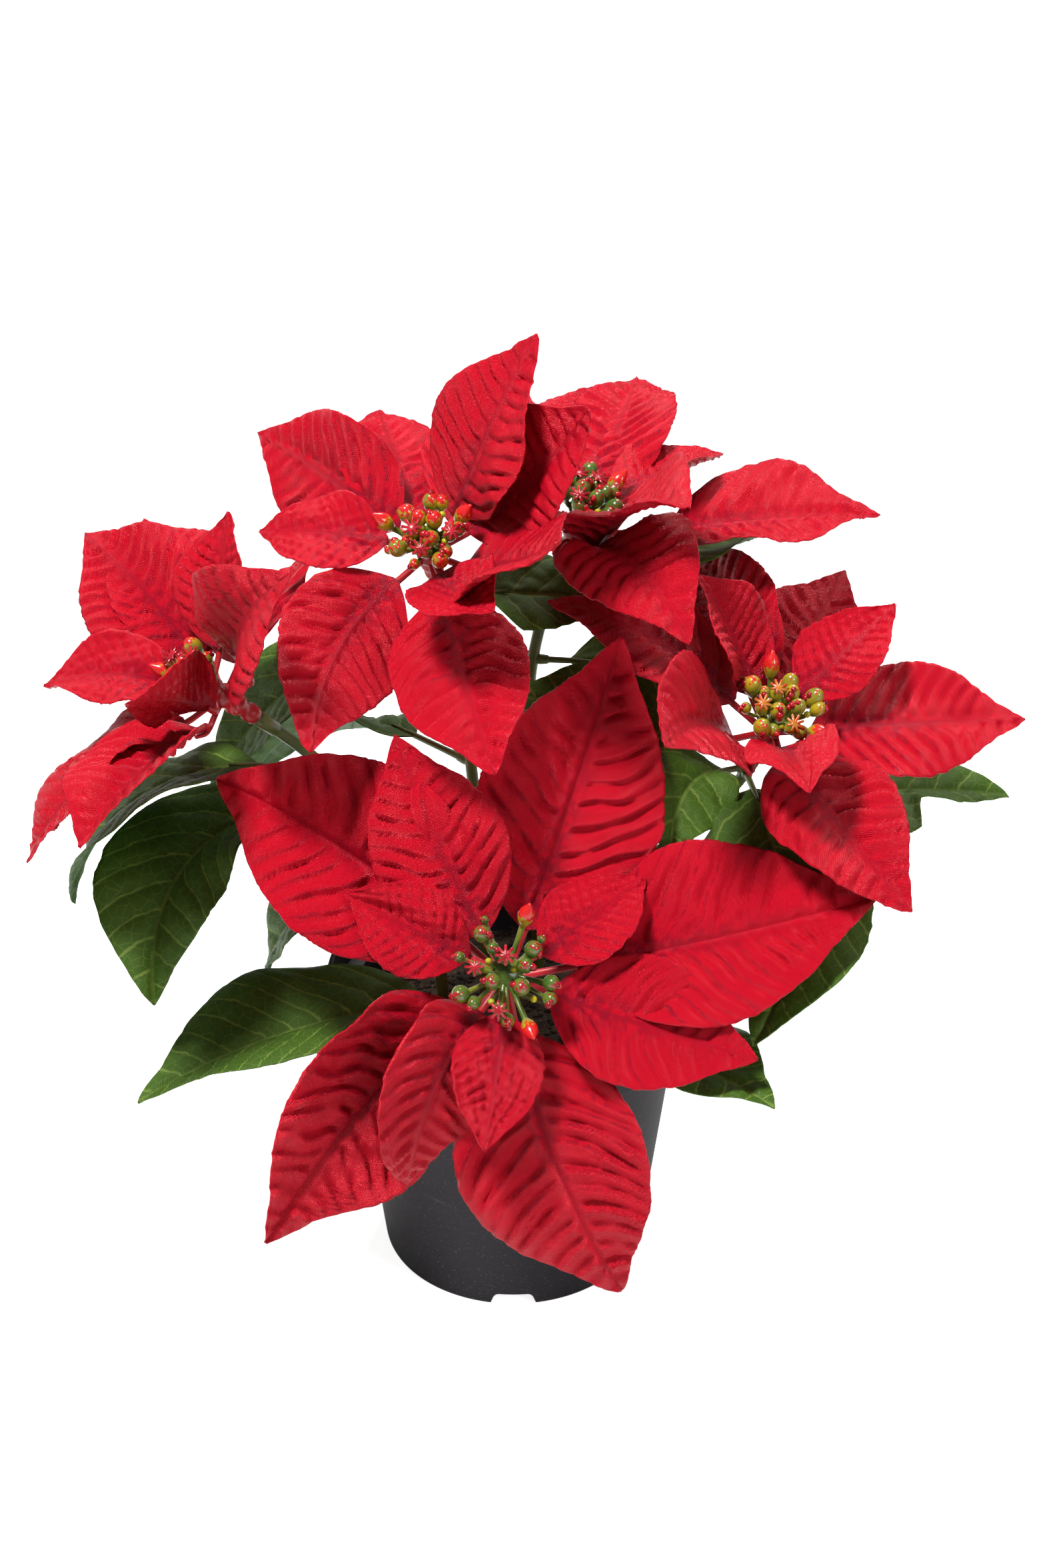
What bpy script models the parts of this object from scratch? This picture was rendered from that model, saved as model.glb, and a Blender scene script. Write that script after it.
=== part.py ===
"""Artificial poinsettia with its pot: five flowers on wired stems in a plastic nursery pot.

The sizes below are in millimetres and the meshes in metres. The origin is at the middle of the
pot's underside, +Z is up and -Y is the front.
"""
import math

import bmesh
import bpy
from mathutils import Matrix, Vector

MM = 0.001
SMOOTH_UP_TO = 35.0

# Pot
BASE_RADIUS = 42.6
WALL_TOP_RADIUS = 53.7
RIM_RADIUS = 60.0
RIM_LOWER_Z = 90.7
POT_HEIGHT = 102.3
WALL = 1.5
FLOOR_UNDER_Z = 5.0
FLOOR_Z = 8.0
FOOT_WIDTH = 3.4
PAD_RADIUS = 22.0
NOTCH_TOP_WIDTH = 12.0
NOTCH_FOOT_WIDTH = 15.0
NOTCH_HEIGHT = 5.0
NOTCH_TURNS = (0.0, 120.0, 240.0)
POT_SIDES = 36

# Potting fill
FILL_Z = 86.0
SEAT_GAP = 0.3
HOLE_BOTTOM_Z = 44.0

# Stems
STEM_RADIUS = 1.9
STEM_SIDES = 6
PETIOLE_RADIUS = 1.1

# Flower hub
COLLAR_RADIUS = 4.2
COLLAR_LENGTH = 24.0
SOCKET_DEPTH = 8.0
ARM_HALF_WIDTH = 1.2
ARM_HALF_DEPTH = 0.9
ARM_LIFT_LIMIT = 18.0

# Blades
BRACT_THICKNESS = 0.7
LEAF_THICKNESS = 0.8
LEAF_WAVES = 1.5
LEAF_WAVE_HEIGHT = 1.8
TOOTH_SHARE = 0.52

# Where along its length each blade has a row of points
BRACT_SHARES = {
    "large": (0.0, 0.08, 0.24, 0.5, 0.78, 1.0),
    "medium": (0.0, 0.08, 0.26, 0.52, 0.8, 1.0),
    "small": (0.0, 0.12, 0.42, 0.76, 1.0),
}
LEAF_SHARES = (0.0, 0.1, 0.26, 0.44, 0.62, 0.8, 1.0)
TOOTHED_LEAF_SHARES = (0.0, 0.1, 0.3, 0.52, 0.57, 0.75, 1.0)

# Blade kinds: length, width, reach of the arm or stalk, height of the arm's root
KINDS = {
    "large": (93.0, 59.0, 16.0, -15.0),
    "medium": (66.0, 42.0, 14.0, -9.0),
    "small": (42.0, 29.0, 12.0, -3.0),
    "long leaf": (97.0, 50.0, 26.0, 0.0),
    "leaf": (84.0, 48.0, 22.0, 0.0),
    "short leaf": (62.0, 38.0, 18.0, 0.0),
    "small leaf": (46.0, 31.0, 12.0, 0.0),
}

# Flowers: where the hub's top lies, and which way it faces (turn to the right, rise)
FLOWERS = {
    "front": ((-2, -70, 154), (0, 42)),
    "back_left": ((-26, 10, 256), (-8, 52)),
    "left": ((-93, -8, 217), (-55, 46)),
    "right": ((80, 0, 200), (25, 62)),
    "back_right": ((22, 55, 241), (58, 70)),
}

# Bracts: kind, turn clockwise from the top, lift, bend to the tip, sweep to the tip, roll, fold,
# and any longer reach of the arm
BRACTS = {
    "front": (
        ("large", -49, 10, -25, -15, 0, 25),
        ("medium", -29, 10, -5, 10, 5, 20),
        ("large", 21, 10, -5, -5, -20, 10),
        ("large", 80, 5, 0, -5, 15, 15, 6),
        ("small", 57, 0, -25, -10, 20, 10),
        ("medium", 111, 5, 5, -5, 10, 15),
        ("large", 169, 5, -50, -25, -20, 5),
        ("small", -175, 15, -30, 5, 15, 10),
        ("medium", -145, 45, -110, -25, 45, 10),
        ("large", -130, 15, -20, -20, 40, 15),
        ("small", -65, 5, -15, 5, 5, 20),
    ),
    "back_left": (
        ("medium", 31, 55, -25, 0, 25, 15),
        ("medium", 60, 30, 35, 0, 0, 25),
        ("medium", -52, -10, -15, -5, 30, 15),
        ("small", -89, 10, -40, 5, -15, 15),
        ("medium", -26, -25, -15, 5, -25, 15),
        ("medium", -142, 15, -10, -45, 35, 5),
        ("medium", 160, 5, 10, -5, 0, 15),
        ("small", 150, 45, -5, -30, 5, 25),
        ("medium", 111, 45, 25, 0, 20, 20),
        ("medium", 20, -20, -15, -10, 0, 15),
    ),
    "left": (
        ("medium", -72, 30, -35, -20, -10, 10),
        ("medium", -64, 15, -30, -15, -35, 10),
        ("small", -21, 30, -10, 5, -5, 25),
        ("medium", 48, 70, -60, -10, -25, 30),
        ("medium", -42, -25, -15, -15, 10, 15),
        ("small", -122, 50, -45, -20, -15, 30),
        ("small", 112, 75, -15, 45, -25, 35),
        ("medium", 149, 50, -30, 0, 0, 35),
        ("medium", -167, 35, -40, -25, -25, 15),
    ),
    "right": (
        ("small", -14, 40, 0, -25, -15, 30),
        ("small", 68, 30, -15, 0, 15, 15),
        ("medium", 44, -15, 15, 5, 5, 10),
        ("medium", 110, 15, -5, 0, 0, 15),
        ("medium", 182, 25, -35, -25, -5, 20),
        ("small", -165, 55, -30, 10, -25, 30),
        ("medium", -93, 55, -25, -40, 15, 25),
        ("medium", -35, 20, -30, -20, -15, 20),
        ("medium", 8, -5, -15, 10, 50, 15),
    ),
    "back_right": (
        ("medium", 59, 15, -40, 10, 20, 15),
        ("medium", 71, 25, -45, 0, 30, 15),
        ("medium", 145, 25, -5, 5, 5, 30, 16),
        ("medium", -144, 75, -40, 0, -25, 35),
        ("small", 112, 40, -45, 5, 35, 25),
        ("medium", -135, 55, -80, -30, -25, 25),
        ("medium", 0, -10, -40, 0, 0, 15),
    ),
}

# Stems: where each leaves the fill, pull at the foot, pull at the hub
STEMS = {
    "front": ((0, -22), 40, 22),
    "back_left": ((-9, 6), 80, 60),
    "left": ((-22, -6), 60, 50),
    "right": ((20, -4), 60, 45),
    "back_right": ((8, 20), 80, 60),
}

# Leaves: kind, place along the stem, compass turn from the back, lift, bend, sweep, roll, fold,
# and 1 for a leaf whose side away from the back is cut in past a tooth
LEAVES = {
    "front": (
        ("long leaf", 0.3, -98, 0, -20, -20, -5, 25),
        ("leaf", 0.35, 126, 5, 0, 15, 5, 10),
    ),
    "back_left": (
        ("leaf", 0.75, -75, -25, -40, -40, 0, 15),
        ("leaf", 0.45, -55, 5, -75, -10, -40, 10),
        ("small leaf", 0.85, 90, 5, -20, 0, -20, 10),
    ),
    "left": (
        ("leaf", 0.62, -99, -5, -50, -95, -5, 30),
        ("leaf", 0.72, -101, 10, -95, 0, -20, 10),
        ("short leaf", 0.45, -73, -45, -30, 0, 20, 20),
    ),
    "right": (
        ("small leaf", 0.9, -135, 35, -105, -40, 30, 15),
        ("small leaf", 0.55, 81, -5, -15, -10, -5, 15),
        ("leaf", 0.65, 83, 10, -30, -10, -5, 15, 1),
        ("leaf", 0.8, 154, -5, -30, 65, 0, 15),
        ("short leaf", 0.88, 175, 15, -85, -20, -20, 5),
        ("short leaf", 0.92, -80, 15, -5, 0, 35, 10),
    ),
    "back_right": (
        ("short leaf", 0.92, 80, 10, 0, 0, 15, 0),
        ("small leaf", 0.72, 95, 0, -10, 0, -35, 10),
    ),
}

# Flower centres: how far the cups spread
CUP_SPREAD = {
    "front": 18.0,
    "back_left": 13.0,
    "left": 10.0,
    "right": 14.0,
    "back_right": 12.0,
}
CUPS = 10
CUP_SIDES = 5
DISC_RADIUS = 5.0
DISC_HEIGHT = 1.6
STALK_FOOT_HEIGHT = 0.8
STALK_FOOT_INSET = 1.4
KNEE_HEIGHT = 6.0
KNEE_DROP = 1.5
KNEE_INSET = 2.0
CUP_LEAN = 0.35
CUP_LENGTH = 7.2
CUP_RADII = (0.8, 1.2, 2.5, 1.3)
GOLDEN_ANGLE = math.radians(137.508)


def clear_scene():
    for item in list(bpy.data.objects):
        bpy.data.objects.remove(item, do_unlink=True)


def material(name, color, roughness):
    made = bpy.data.materials.new(name)
    made.use_nodes = True
    shader = made.node_tree.nodes["Principled BSDF"]
    shader.inputs["Base Color"].default_value = (*color, 1.0)
    shader.inputs["Roughness"].default_value = roughness
    made.diffuse_color = (*color, 1.0)
    return made


def solid(name, points, faces, surface=None):
    mesh = bpy.data.meshes.new(name)
    mesh.from_pydata([tuple(point * MM) for point in points], [], faces)
    form = bmesh.new()
    form.from_mesh(mesh)
    bmesh.ops.recalc_face_normals(form, faces=form.faces)
    form.to_mesh(mesh)
    form.free()
    made = bpy.data.objects.new(name, mesh)
    bpy.context.scene.collection.objects.link(made)
    if surface is not None:
        mesh.materials.append(surface)
    return made


def lathe(name, profile, sides, surface=None):
    """Turn a closed profile of (radius, z); a zero radius makes a single point."""
    points = []
    rings = []
    for radius, z in profile:
        if radius <= 0.0:
            rings.append([len(points)] * sides)
            points.append(Vector((0.0, 0.0, z)))
            continue
        rings.append([len(points) + step for step in range(sides)])
        for step in range(sides):
            angle = 2.0 * math.pi * step / sides
            points.append(Vector((radius * math.cos(angle), radius * math.sin(angle), z)))
    faces = []
    count = len(rings)
    last = count if profile[0][0] > 0.0 else count - 1
    for index in range(last):
        lower = rings[index]
        upper = rings[(index + 1) % count]
        for step in range(sides):
            after = (step + 1) % sides
            corners = (lower[step], lower[after], upper[after], upper[step])
            face = tuple(dict.fromkeys(corners))
            if len(face) > 2:
                faces.append(face)
    return solid(name, points, faces, surface)


def side_axes(direction):
    helper = Vector((0.0, 0.0, 1.0)) if abs(direction.z) < 0.9 else Vector((0.0, 1.0, 0.0))
    first = direction.cross(helper).normalized()
    return first, direction.cross(first).normalized()


def tube(name, path, radii, sides, depth_share=1.0):
    """A closed tube along a path, its section carried along without twist."""
    points = []
    faces = []
    first = None
    for index, place in enumerate(path):
        before = path[max(index - 1, 0)]
        after = path[min(index + 1, len(path) - 1)]
        direction = (after - before).normalized()
        if first is None:
            first, second = side_axes(direction)
        else:
            first = (first - direction * first.dot(direction)).normalized()
            second = direction.cross(first)
        for step in range(sides):
            angle = 2.0 * math.pi * (step + 0.5) / sides
            offset = first * math.cos(angle) + second * math.sin(angle) * depth_share
            points.append(place + offset * radii[index])
    for index in range(len(path) - 1):
        low = index * sides
        for step in range(sides):
            after = (step + 1) % sides
            faces.append((low + step, low + after, low + sides + after, low + sides + step))
    faces.append(tuple(range(sides)))
    faces.append(tuple(range((len(path) - 1) * sides, len(path) * sides)))
    return solid(name, points, faces)


def axes_facing(turn, rise):
    """Right, up and outward axes of a flower that faces the given way."""
    turn = math.radians(turn)
    rise = math.radians(rise)
    outward = Vector((math.sin(turn) * math.cos(rise), -math.cos(turn) * math.cos(rise), math.sin(rise)))
    up = (Vector((0.0, 0.0, 1.0)) - outward * outward.z).normalized()
    return up.cross(outward), up, outward


LEVEL_AXES = (Vector((1.0, 0.0, 0.0)), Vector((0.0, 1.0, 0.0)), Vector((0.0, 0.0, 1.0)))


def direction_at(axes, turn, lift):
    right, up, outward = axes
    turn = math.radians(turn)
    lift = math.radians(lift)
    flat = up * math.cos(turn) + right * math.sin(turn)
    along = flat * math.cos(lift) + outward * math.sin(lift)
    normal = outward * math.cos(lift) - flat * math.sin(lift)
    return along, normal


def midrib(root, axes, blade, shares, steps=48):
    """Places, directions and normals of a blade's midrib at the given shares of its length."""
    kind, turn, lift, bend, sweep = blade[:5]
    length = KINDS[kind][0]
    place = root.copy()
    found = []
    wanted = list(shares)
    for step in range(steps + 1):
        share = step / steps
        along, normal = direction_at(axes, turn + sweep * share, lift + bend * share)
        while wanted and wanted[0] <= share + 1e-6:
            back = (share - wanted[0]) * length
            found.append((place - along * back, along, normal))
            wanted.pop(0)
        place = place + along * length / steps
    return found


def arm_end(start, axes, blade):
    kind, turn, lift = blade[:3]
    longer = blade[7] if len(blade) > 7 else 0.0
    lift = max(-ARM_LIFT_LIMIT, min(ARM_LIFT_LIMIT, lift))
    along, _ = direction_at(axes, turn, lift)
    return start + along * (KINDS[kind][2] + longer)


def half_width(share, kind):
    """Outline of a blade: round at the stalk and drawn out to a point at the tip."""
    body = math.sin(math.pi * min(share, 1.0) ** 0.82) ** 0.9
    tip = max(0.0, (share - 0.72) / 0.28) * min(1.0, max(0.0, (1.0 - share) / 0.14))
    return KINDS[kind][1] / 2.0 * body * (1.0 - 0.35 * tip)


def tooth_cut(share):
    """What a leaf's cut side keeps of its half width: it swells to a tooth and is cut in past it."""
    if share <= TOOTH_SHARE:
        return 1.0 + 0.12 * (share / TOOTH_SHARE) ** 3
    return 0.5 + 0.5 * ((share - TOOTH_SHARE) / (1.0 - TOOTH_SHARE)) ** 2


def cross_rise(side, fold):
    """Height of the blade across its width: a folded rib with edges that ease over."""
    return math.tan(math.radians(fold)) * (abs(side) - 0.35 * side * side)


def edge_wave(side, share):
    """Height of a leaf's wave, which dies away towards the midrib and both ends."""
    swell = math.sin(math.pi * share)
    turn = 2.0 * math.pi * LEAF_WAVES * share + (0.0 if side < 0.0 else 1.9)
    return LEAF_WAVE_HEIGHT * side * side * swell * math.sin(turn)


def blade_solid(name, root, axes, blade, thickness, shares, toothed=False):
    sides = (-1.0, -0.5, 0.0, 0.5, 1.0)
    kind = blade[0]
    waved = kind.endswith("leaf")
    roll, fold = blade[5:7]
    upper = []
    lower = []
    rows = midrib(root, axes, blade, shares)
    for share, (place, along, normal) in zip(shares, rows):
        across = along.cross(normal)
        angle = math.radians(roll) * min(1.0, share / 0.3)
        side_axis = across * math.cos(angle) + normal * math.sin(angle)
        face_axis = normal * math.cos(angle) - across * math.sin(angle)
        width = max(half_width(share, kind), ARM_HALF_WIDTH if share < 0.5 else 0.5)
        for side in sides:
            rise = cross_rise(side, fold) * width
            if waved:
                rise += edge_wave(side, share)
            out = side * width
            if toothed and side > 0.0 and 0.0 < share < 1.0:
                out *= tooth_cut(share)
            place_here = place + side_axis * out + face_axis * rise
            upper.append(place_here + face_axis * thickness / 2.0)
            lower.append(place_here - face_axis * thickness / 2.0)
    return solid(name, upper + lower, plate_faces(len(shares), len(sides)))


def plate_faces(rows, columns):
    """Triangles of a plate whose two faces are split alike."""
    below = rows * columns
    faces = []
    for row in range(rows - 1):
        for column in range(columns - 1):
            a = row * columns + column
            b = a + 1
            c = a + columns + 1
            d = a + columns
            pairs = ((a, b, c), (a, c, d)) if column < columns // 2 else ((a, b, d), (b, c, d))
            for one, two, three in pairs:
                faces.append((one, two, three))
                faces.append((below + three, below + two, below + one))
    rim = [column for column in range(columns)]
    rim += [row * columns + columns - 1 for row in range(1, rows)]
    rim += [(rows - 1) * columns + column for column in range(columns - 2, -1, -1)]
    rim += [row * columns for row in range(rows - 2, 0, -1)]
    for index, here in enumerate(rim):
        after = rim[(index + 1) % len(rim)]
        faces.append((after, here, below + here))
        faces.append((after, below + here, below + after))
    return faces


def fuse(name, pieces, surface, cutters=()):
    """Join the pieces into one closed body, then cut the cutters out of it."""
    body = pieces[0]
    body.name = name
    body.data.name = name
    for kind, others in (("UNION", list(pieces[1:])), ("DIFFERENCE", list(cutters))):
        if not others:
            continue
        group = bpy.data.collections.new(name + " group")
        for item in others:
            group.objects.link(item)
        change = body.modifiers.new(kind.lower(), "BOOLEAN")
        change.operation = kind
        change.operand_type = "COLLECTION"
        change.collection = group
        change.solver = "EXACT"
        apply_modifier(body)
        for item in others:
            bpy.data.objects.remove(item, do_unlink=True)
        bpy.data.collections.remove(group)
    tidy(body, surface)
    return body


def apply_modifier(body):
    bpy.context.view_layer.update()
    graph = bpy.context.evaluated_depsgraph_get()
    mesh = bpy.data.meshes.new_from_object(body.evaluated_get(graph))
    body.modifiers.clear()
    body.data = mesh


def set_origin(body, place):
    """Put the object's origin at a place, and leave its form where it is."""
    body.data.transform(Matrix.Translation(-place * MM))
    body.location = place * MM


def tidy(body, surface):
    form = bmesh.new()
    form.from_mesh(body.data)
    bmesh.ops.dissolve_degenerate(form, dist=0.000001, edges=form.edges)
    bmesh.ops.triangulate(form, faces=form.faces)
    form.to_mesh(body.data)
    form.free()
    body.data.materials.clear()
    body.data.materials.append(surface)
    body.data.shade_smooth()
    body.data.set_sharp_from_angle(angle=math.radians(SMOOTH_UP_TO))


def notch_cutter(turn):
    top = NOTCH_TOP_WIDTH / 2.0
    foot = NOTCH_FOOT_WIDTH / 2.0
    slope = (foot - top) / NOTCH_HEIGHT
    near = BASE_RADIUS - FOOT_WIDTH - 4.0
    far = BASE_RADIUS + 4.0
    top_z = NOTCH_HEIGHT - 0.4
    section = ((-foot - slope, -1.0), (foot + slope, -1.0), (top, top_z), (-top, top_z))
    angle = math.radians(turn)
    points = []
    for distance in (near, far):
        for x, z in section:
            points.append(Vector((x * math.cos(angle) + distance * math.sin(angle),
                                  x * math.sin(angle) - distance * math.cos(angle), z)))
    faces = [(0, 1, 2, 3), (7, 6, 5, 4)]
    for step in range(4):
        after = (step + 1) % 4
        faces.append((step, 4 + step, 4 + after, after))
    return solid("notch", points, faces)


def make_pot():
    slope = (WALL_TOP_RADIUS - BASE_RADIUS) / RIM_LOWER_Z
    profile = (
        (0.0, 0.0),
        (PAD_RADIUS, 0.0),
        (PAD_RADIUS + 1.0, FLOOR_UNDER_Z),
        (BASE_RADIUS - FOOT_WIDTH - 0.4, FLOOR_UNDER_Z),
        (BASE_RADIUS - FOOT_WIDTH, 0.0),
        (BASE_RADIUS - 0.5, 0.0),
        (BASE_RADIUS, 0.8),
        (WALL_TOP_RADIUS, RIM_LOWER_Z),
        (RIM_RADIUS - 0.9, RIM_LOWER_Z),
        (RIM_RADIUS, POT_HEIGHT - 0.8),
        (RIM_RADIUS - 0.5, POT_HEIGHT),
        (RIM_RADIUS - 1.8, POT_HEIGHT),
        (RIM_RADIUS - 2.6, RIM_LOWER_Z + WALL),
        (WALL_TOP_RADIUS - WALL, RIM_LOWER_Z + WALL),
        (BASE_RADIUS - WALL + slope * FLOOR_Z, FLOOR_Z),
        (0.0, FLOOR_Z),
    )
    surface = material("black pot plastic", (0.045, 0.043, 0.048), 0.5)
    body = lathe("pot", profile, POT_SIDES, surface)
    return fuse("pot", [body], surface, [notch_cutter(turn) for turn in NOTCH_TURNS])


def stem_path(name):
    """Straight up from the hole, then one smooth bend to the flower's collar."""
    (x, y), foot_pull, hub_pull = STEMS[name]
    hub, facing = FLOWERS[name]
    outward = axes_facing(*facing)[2]
    bottom = Vector((x, y, HOLE_BOTTOM_Z + SEAT_GAP))
    foot = Vector((x, y, FILL_Z + 2.0))
    end = Vector(hub) - outward * (COLLAR_LENGTH + 1.5)
    second = foot + Vector((0.0, 0.0, foot_pull))
    third = end - outward * hub_pull
    path = [bottom]
    steps = 12
    for step in range(steps + 1):
        t = step / steps
        u = 1.0 - t
        path.append(foot * u ** 3 + second * 3 * u * u * t + third * 3 * u * t * t + end * t ** 3)
    path.append(Vector(hub) - outward * (COLLAR_LENGTH - SOCKET_DEPTH + SEAT_GAP))
    return path


def place_along(path, share):
    position = share * (len(path) - 1)
    index = min(int(position), len(path) - 2)
    return path[index].lerp(path[index + 1], position - index)


def make_fill():
    surface = material("potting fill", (0.06, 0.04, 0.03), 0.95)
    slope = (WALL_TOP_RADIUS - BASE_RADIUS) / RIM_LOWER_Z
    low = BASE_RADIUS - WALL + slope * FLOOR_Z - 2.0 * SEAT_GAP
    high = BASE_RADIUS - WALL + slope * (FILL_Z - 2.5) - 2.0 * SEAT_GAP
    profile = (
        (0.0, FLOOR_Z + SEAT_GAP),
        (low, FLOOR_Z + SEAT_GAP),
        (high, FILL_Z - 2.5),
        (high - 6.0, FILL_Z - 0.6),
        (high * 0.6, FILL_Z),
        (0.0, FILL_Z),
    )
    body = lathe("soil", profile, POT_SIDES, surface)
    holes = []
    for name, ((x, y), _, _) in STEMS.items():
        ends = [Vector((x, y, HOLE_BOTTOM_Z)), Vector((x, y, FILL_Z + 3.0))]
        radius = (STEM_RADIUS + SEAT_GAP) / math.cos(math.pi / 10)
        holes.append(tube("hole " + name, ends, (radius, radius), 10))
    return fuse("soil", [body], surface, holes)


def make_stem(name):
    path = stem_path(name)
    radii = [STEM_RADIUS] * len(path)
    pieces = [tube("stem", path, radii, STEM_SIDES)]
    for blade in LEAVES[name]:
        kind, share = blade[:2]
        leaf = (kind,) + blade[2:8]
        toothed = len(blade) > 8
        start = place_along(path, share)
        root = arm_end(start, LEVEL_AXES, leaf)
        along = (root - start).normalized()
        stalk = [start, start.lerp(root, 0.5), root + along * 6.0]
        pieces.append(tube("stalk", stalk, (PETIOLE_RADIUS,) * 3, 5))
        shares = TOOTHED_LEAF_SHARES if toothed else LEAF_SHARES
        pieces.append(blade_solid("leaf", root, LEVEL_AXES, leaf, LEAF_THICKNESS, shares, toothed))
    surface = material("green stem and leaves " + name, (0.03, 0.085, 0.03), 0.6)
    body = fuse("stem_" + name, pieces, surface)
    set_origin(body, path[0])
    return body


def make_bracts(name):
    hub, facing = FLOWERS[name]
    axes = axes_facing(*facing)
    outward = axes[2]
    top = Vector(hub)
    foot = top - outward * COLLAR_LENGTH
    collar = tube("collar", [foot, top], (COLLAR_RADIUS * 0.85, COLLAR_RADIUS), STEM_SIDES)
    pieces = [collar]
    for blade in BRACTS[name]:
        kind = blade[0]
        start = top + outward * KINDS[kind][3]
        root = arm_end(start, axes, blade)
        along, _ = direction_at(axes, blade[1], blade[2])
        arm = [start, root, root + along * 5.0]
        half = (ARM_HALF_WIDTH,) * 3
        pieces.append(tube("arm", arm, half, 4, ARM_HALF_DEPTH / ARM_HALF_WIDTH))
        pieces.append(blade_solid("bract", root, axes, blade, BRACT_THICKNESS, BRACT_SHARES[kind]))
    socket = [foot - outward, foot + outward * SOCKET_DEPTH]
    radius = STEM_RADIUS + 2.0 * SEAT_GAP
    cutter = tube("socket", socket, (radius, radius), STEM_SIDES)
    surface = material("red bracts " + name, (0.55, 0.012, 0.02), 0.5)
    body = fuse("bracts_" + name, pieces, surface, [cutter])
    set_origin(body, top)
    return body


def make_cyathia(name):
    hub, facing = FLOWERS[name]
    right, up, outward = axes_facing(*facing)
    seat = Vector(hub) + outward * SEAT_GAP
    disc = tube("disc", [seat, seat + outward * DISC_HEIGHT], (DISC_RADIUS, DISC_RADIUS), 8)
    pieces = [disc]
    for index in range(CUPS):
        spread = math.sqrt((index + 0.5) / CUPS)
        angle = index * GOLDEN_ANGLE + facing[0]
        flat = up * math.cos(angle) + right * math.sin(angle)
        low = seat + outward * STALK_FOOT_HEIGHT + flat * spread * (DISC_RADIUS - STALK_FOOT_INSET)
        height = KNEE_HEIGHT - KNEE_DROP * spread
        knee = seat + outward * height + flat * spread * (CUP_SPREAD[name] - KNEE_INSET)
        lean = (outward + flat * CUP_LEAN * spread).normalized()
        cup = [low, knee, knee + lean * CUP_LENGTH / 2.0, knee + lean * CUP_LENGTH]
        pieces.append(tube("cup", cup, CUP_RADII, CUP_SIDES))
    surface = material("flower centre plastic " + name, (0.25, 0.3, 0.03), 0.3)
    body = fuse("cyathia_" + name, pieces, surface)
    set_origin(body, seat)
    return body


def main():
    clear_scene()
    make_pot()
    make_fill()
    for name in FLOWERS:
        make_stem(name)
        make_bracts(name)
        make_cyathia(name)


main()
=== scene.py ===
"""Finish of the artificial poinsettia: woven bracts and leaves, moulded flower centres, its pot.

Lengths are in millimetres and turned into metres where a mesh is made.
"""
import math

import bmesh
import bpy
import numpy as np
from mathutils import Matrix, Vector


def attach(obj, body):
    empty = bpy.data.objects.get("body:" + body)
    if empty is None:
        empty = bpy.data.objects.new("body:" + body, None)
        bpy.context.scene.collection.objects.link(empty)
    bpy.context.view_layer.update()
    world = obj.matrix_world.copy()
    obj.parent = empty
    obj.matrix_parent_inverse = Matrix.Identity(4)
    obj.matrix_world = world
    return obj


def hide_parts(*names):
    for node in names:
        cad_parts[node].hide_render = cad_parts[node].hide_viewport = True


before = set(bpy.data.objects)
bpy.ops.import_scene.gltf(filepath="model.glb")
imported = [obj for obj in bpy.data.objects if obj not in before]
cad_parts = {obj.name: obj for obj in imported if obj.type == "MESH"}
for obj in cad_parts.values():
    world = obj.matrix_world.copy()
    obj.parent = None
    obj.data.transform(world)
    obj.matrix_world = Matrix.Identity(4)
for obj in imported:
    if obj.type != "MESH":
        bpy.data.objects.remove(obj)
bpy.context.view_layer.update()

MM = 0.001

# Blade kinds: length, width, reach of the arm or stalk, height of the arm's root
KINDS = {
    "large": (93.0, 59.0, 16.0, -15.0),
    "medium": (66.0, 42.0, 14.0, -9.0),
    "small": (42.0, 29.0, 12.0, -3.0),
    "long leaf": (97.0, 50.0, 26.0, 0.0),
    "leaf": (84.0, 48.0, 22.0, 0.0),
    "short leaf": (62.0, 38.0, 18.0, 0.0),
    "small leaf": (46.0, 31.0, 12.0, 0.0),
}

# Flowers: where the hub's top lies, and which way it faces (turn to the right, rise)
FLOWERS = {
    "front": ((-2, -70, 154), (0, 42)),
    "back_left": ((-26, 10, 256), (-8, 52)),
    "left": ((-93, -8, 217), (-55, 46)),
    "right": ((80, 0, 200), (25, 62)),
    "back_right": ((22, 55, 241), (58, 70)),
}

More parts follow.
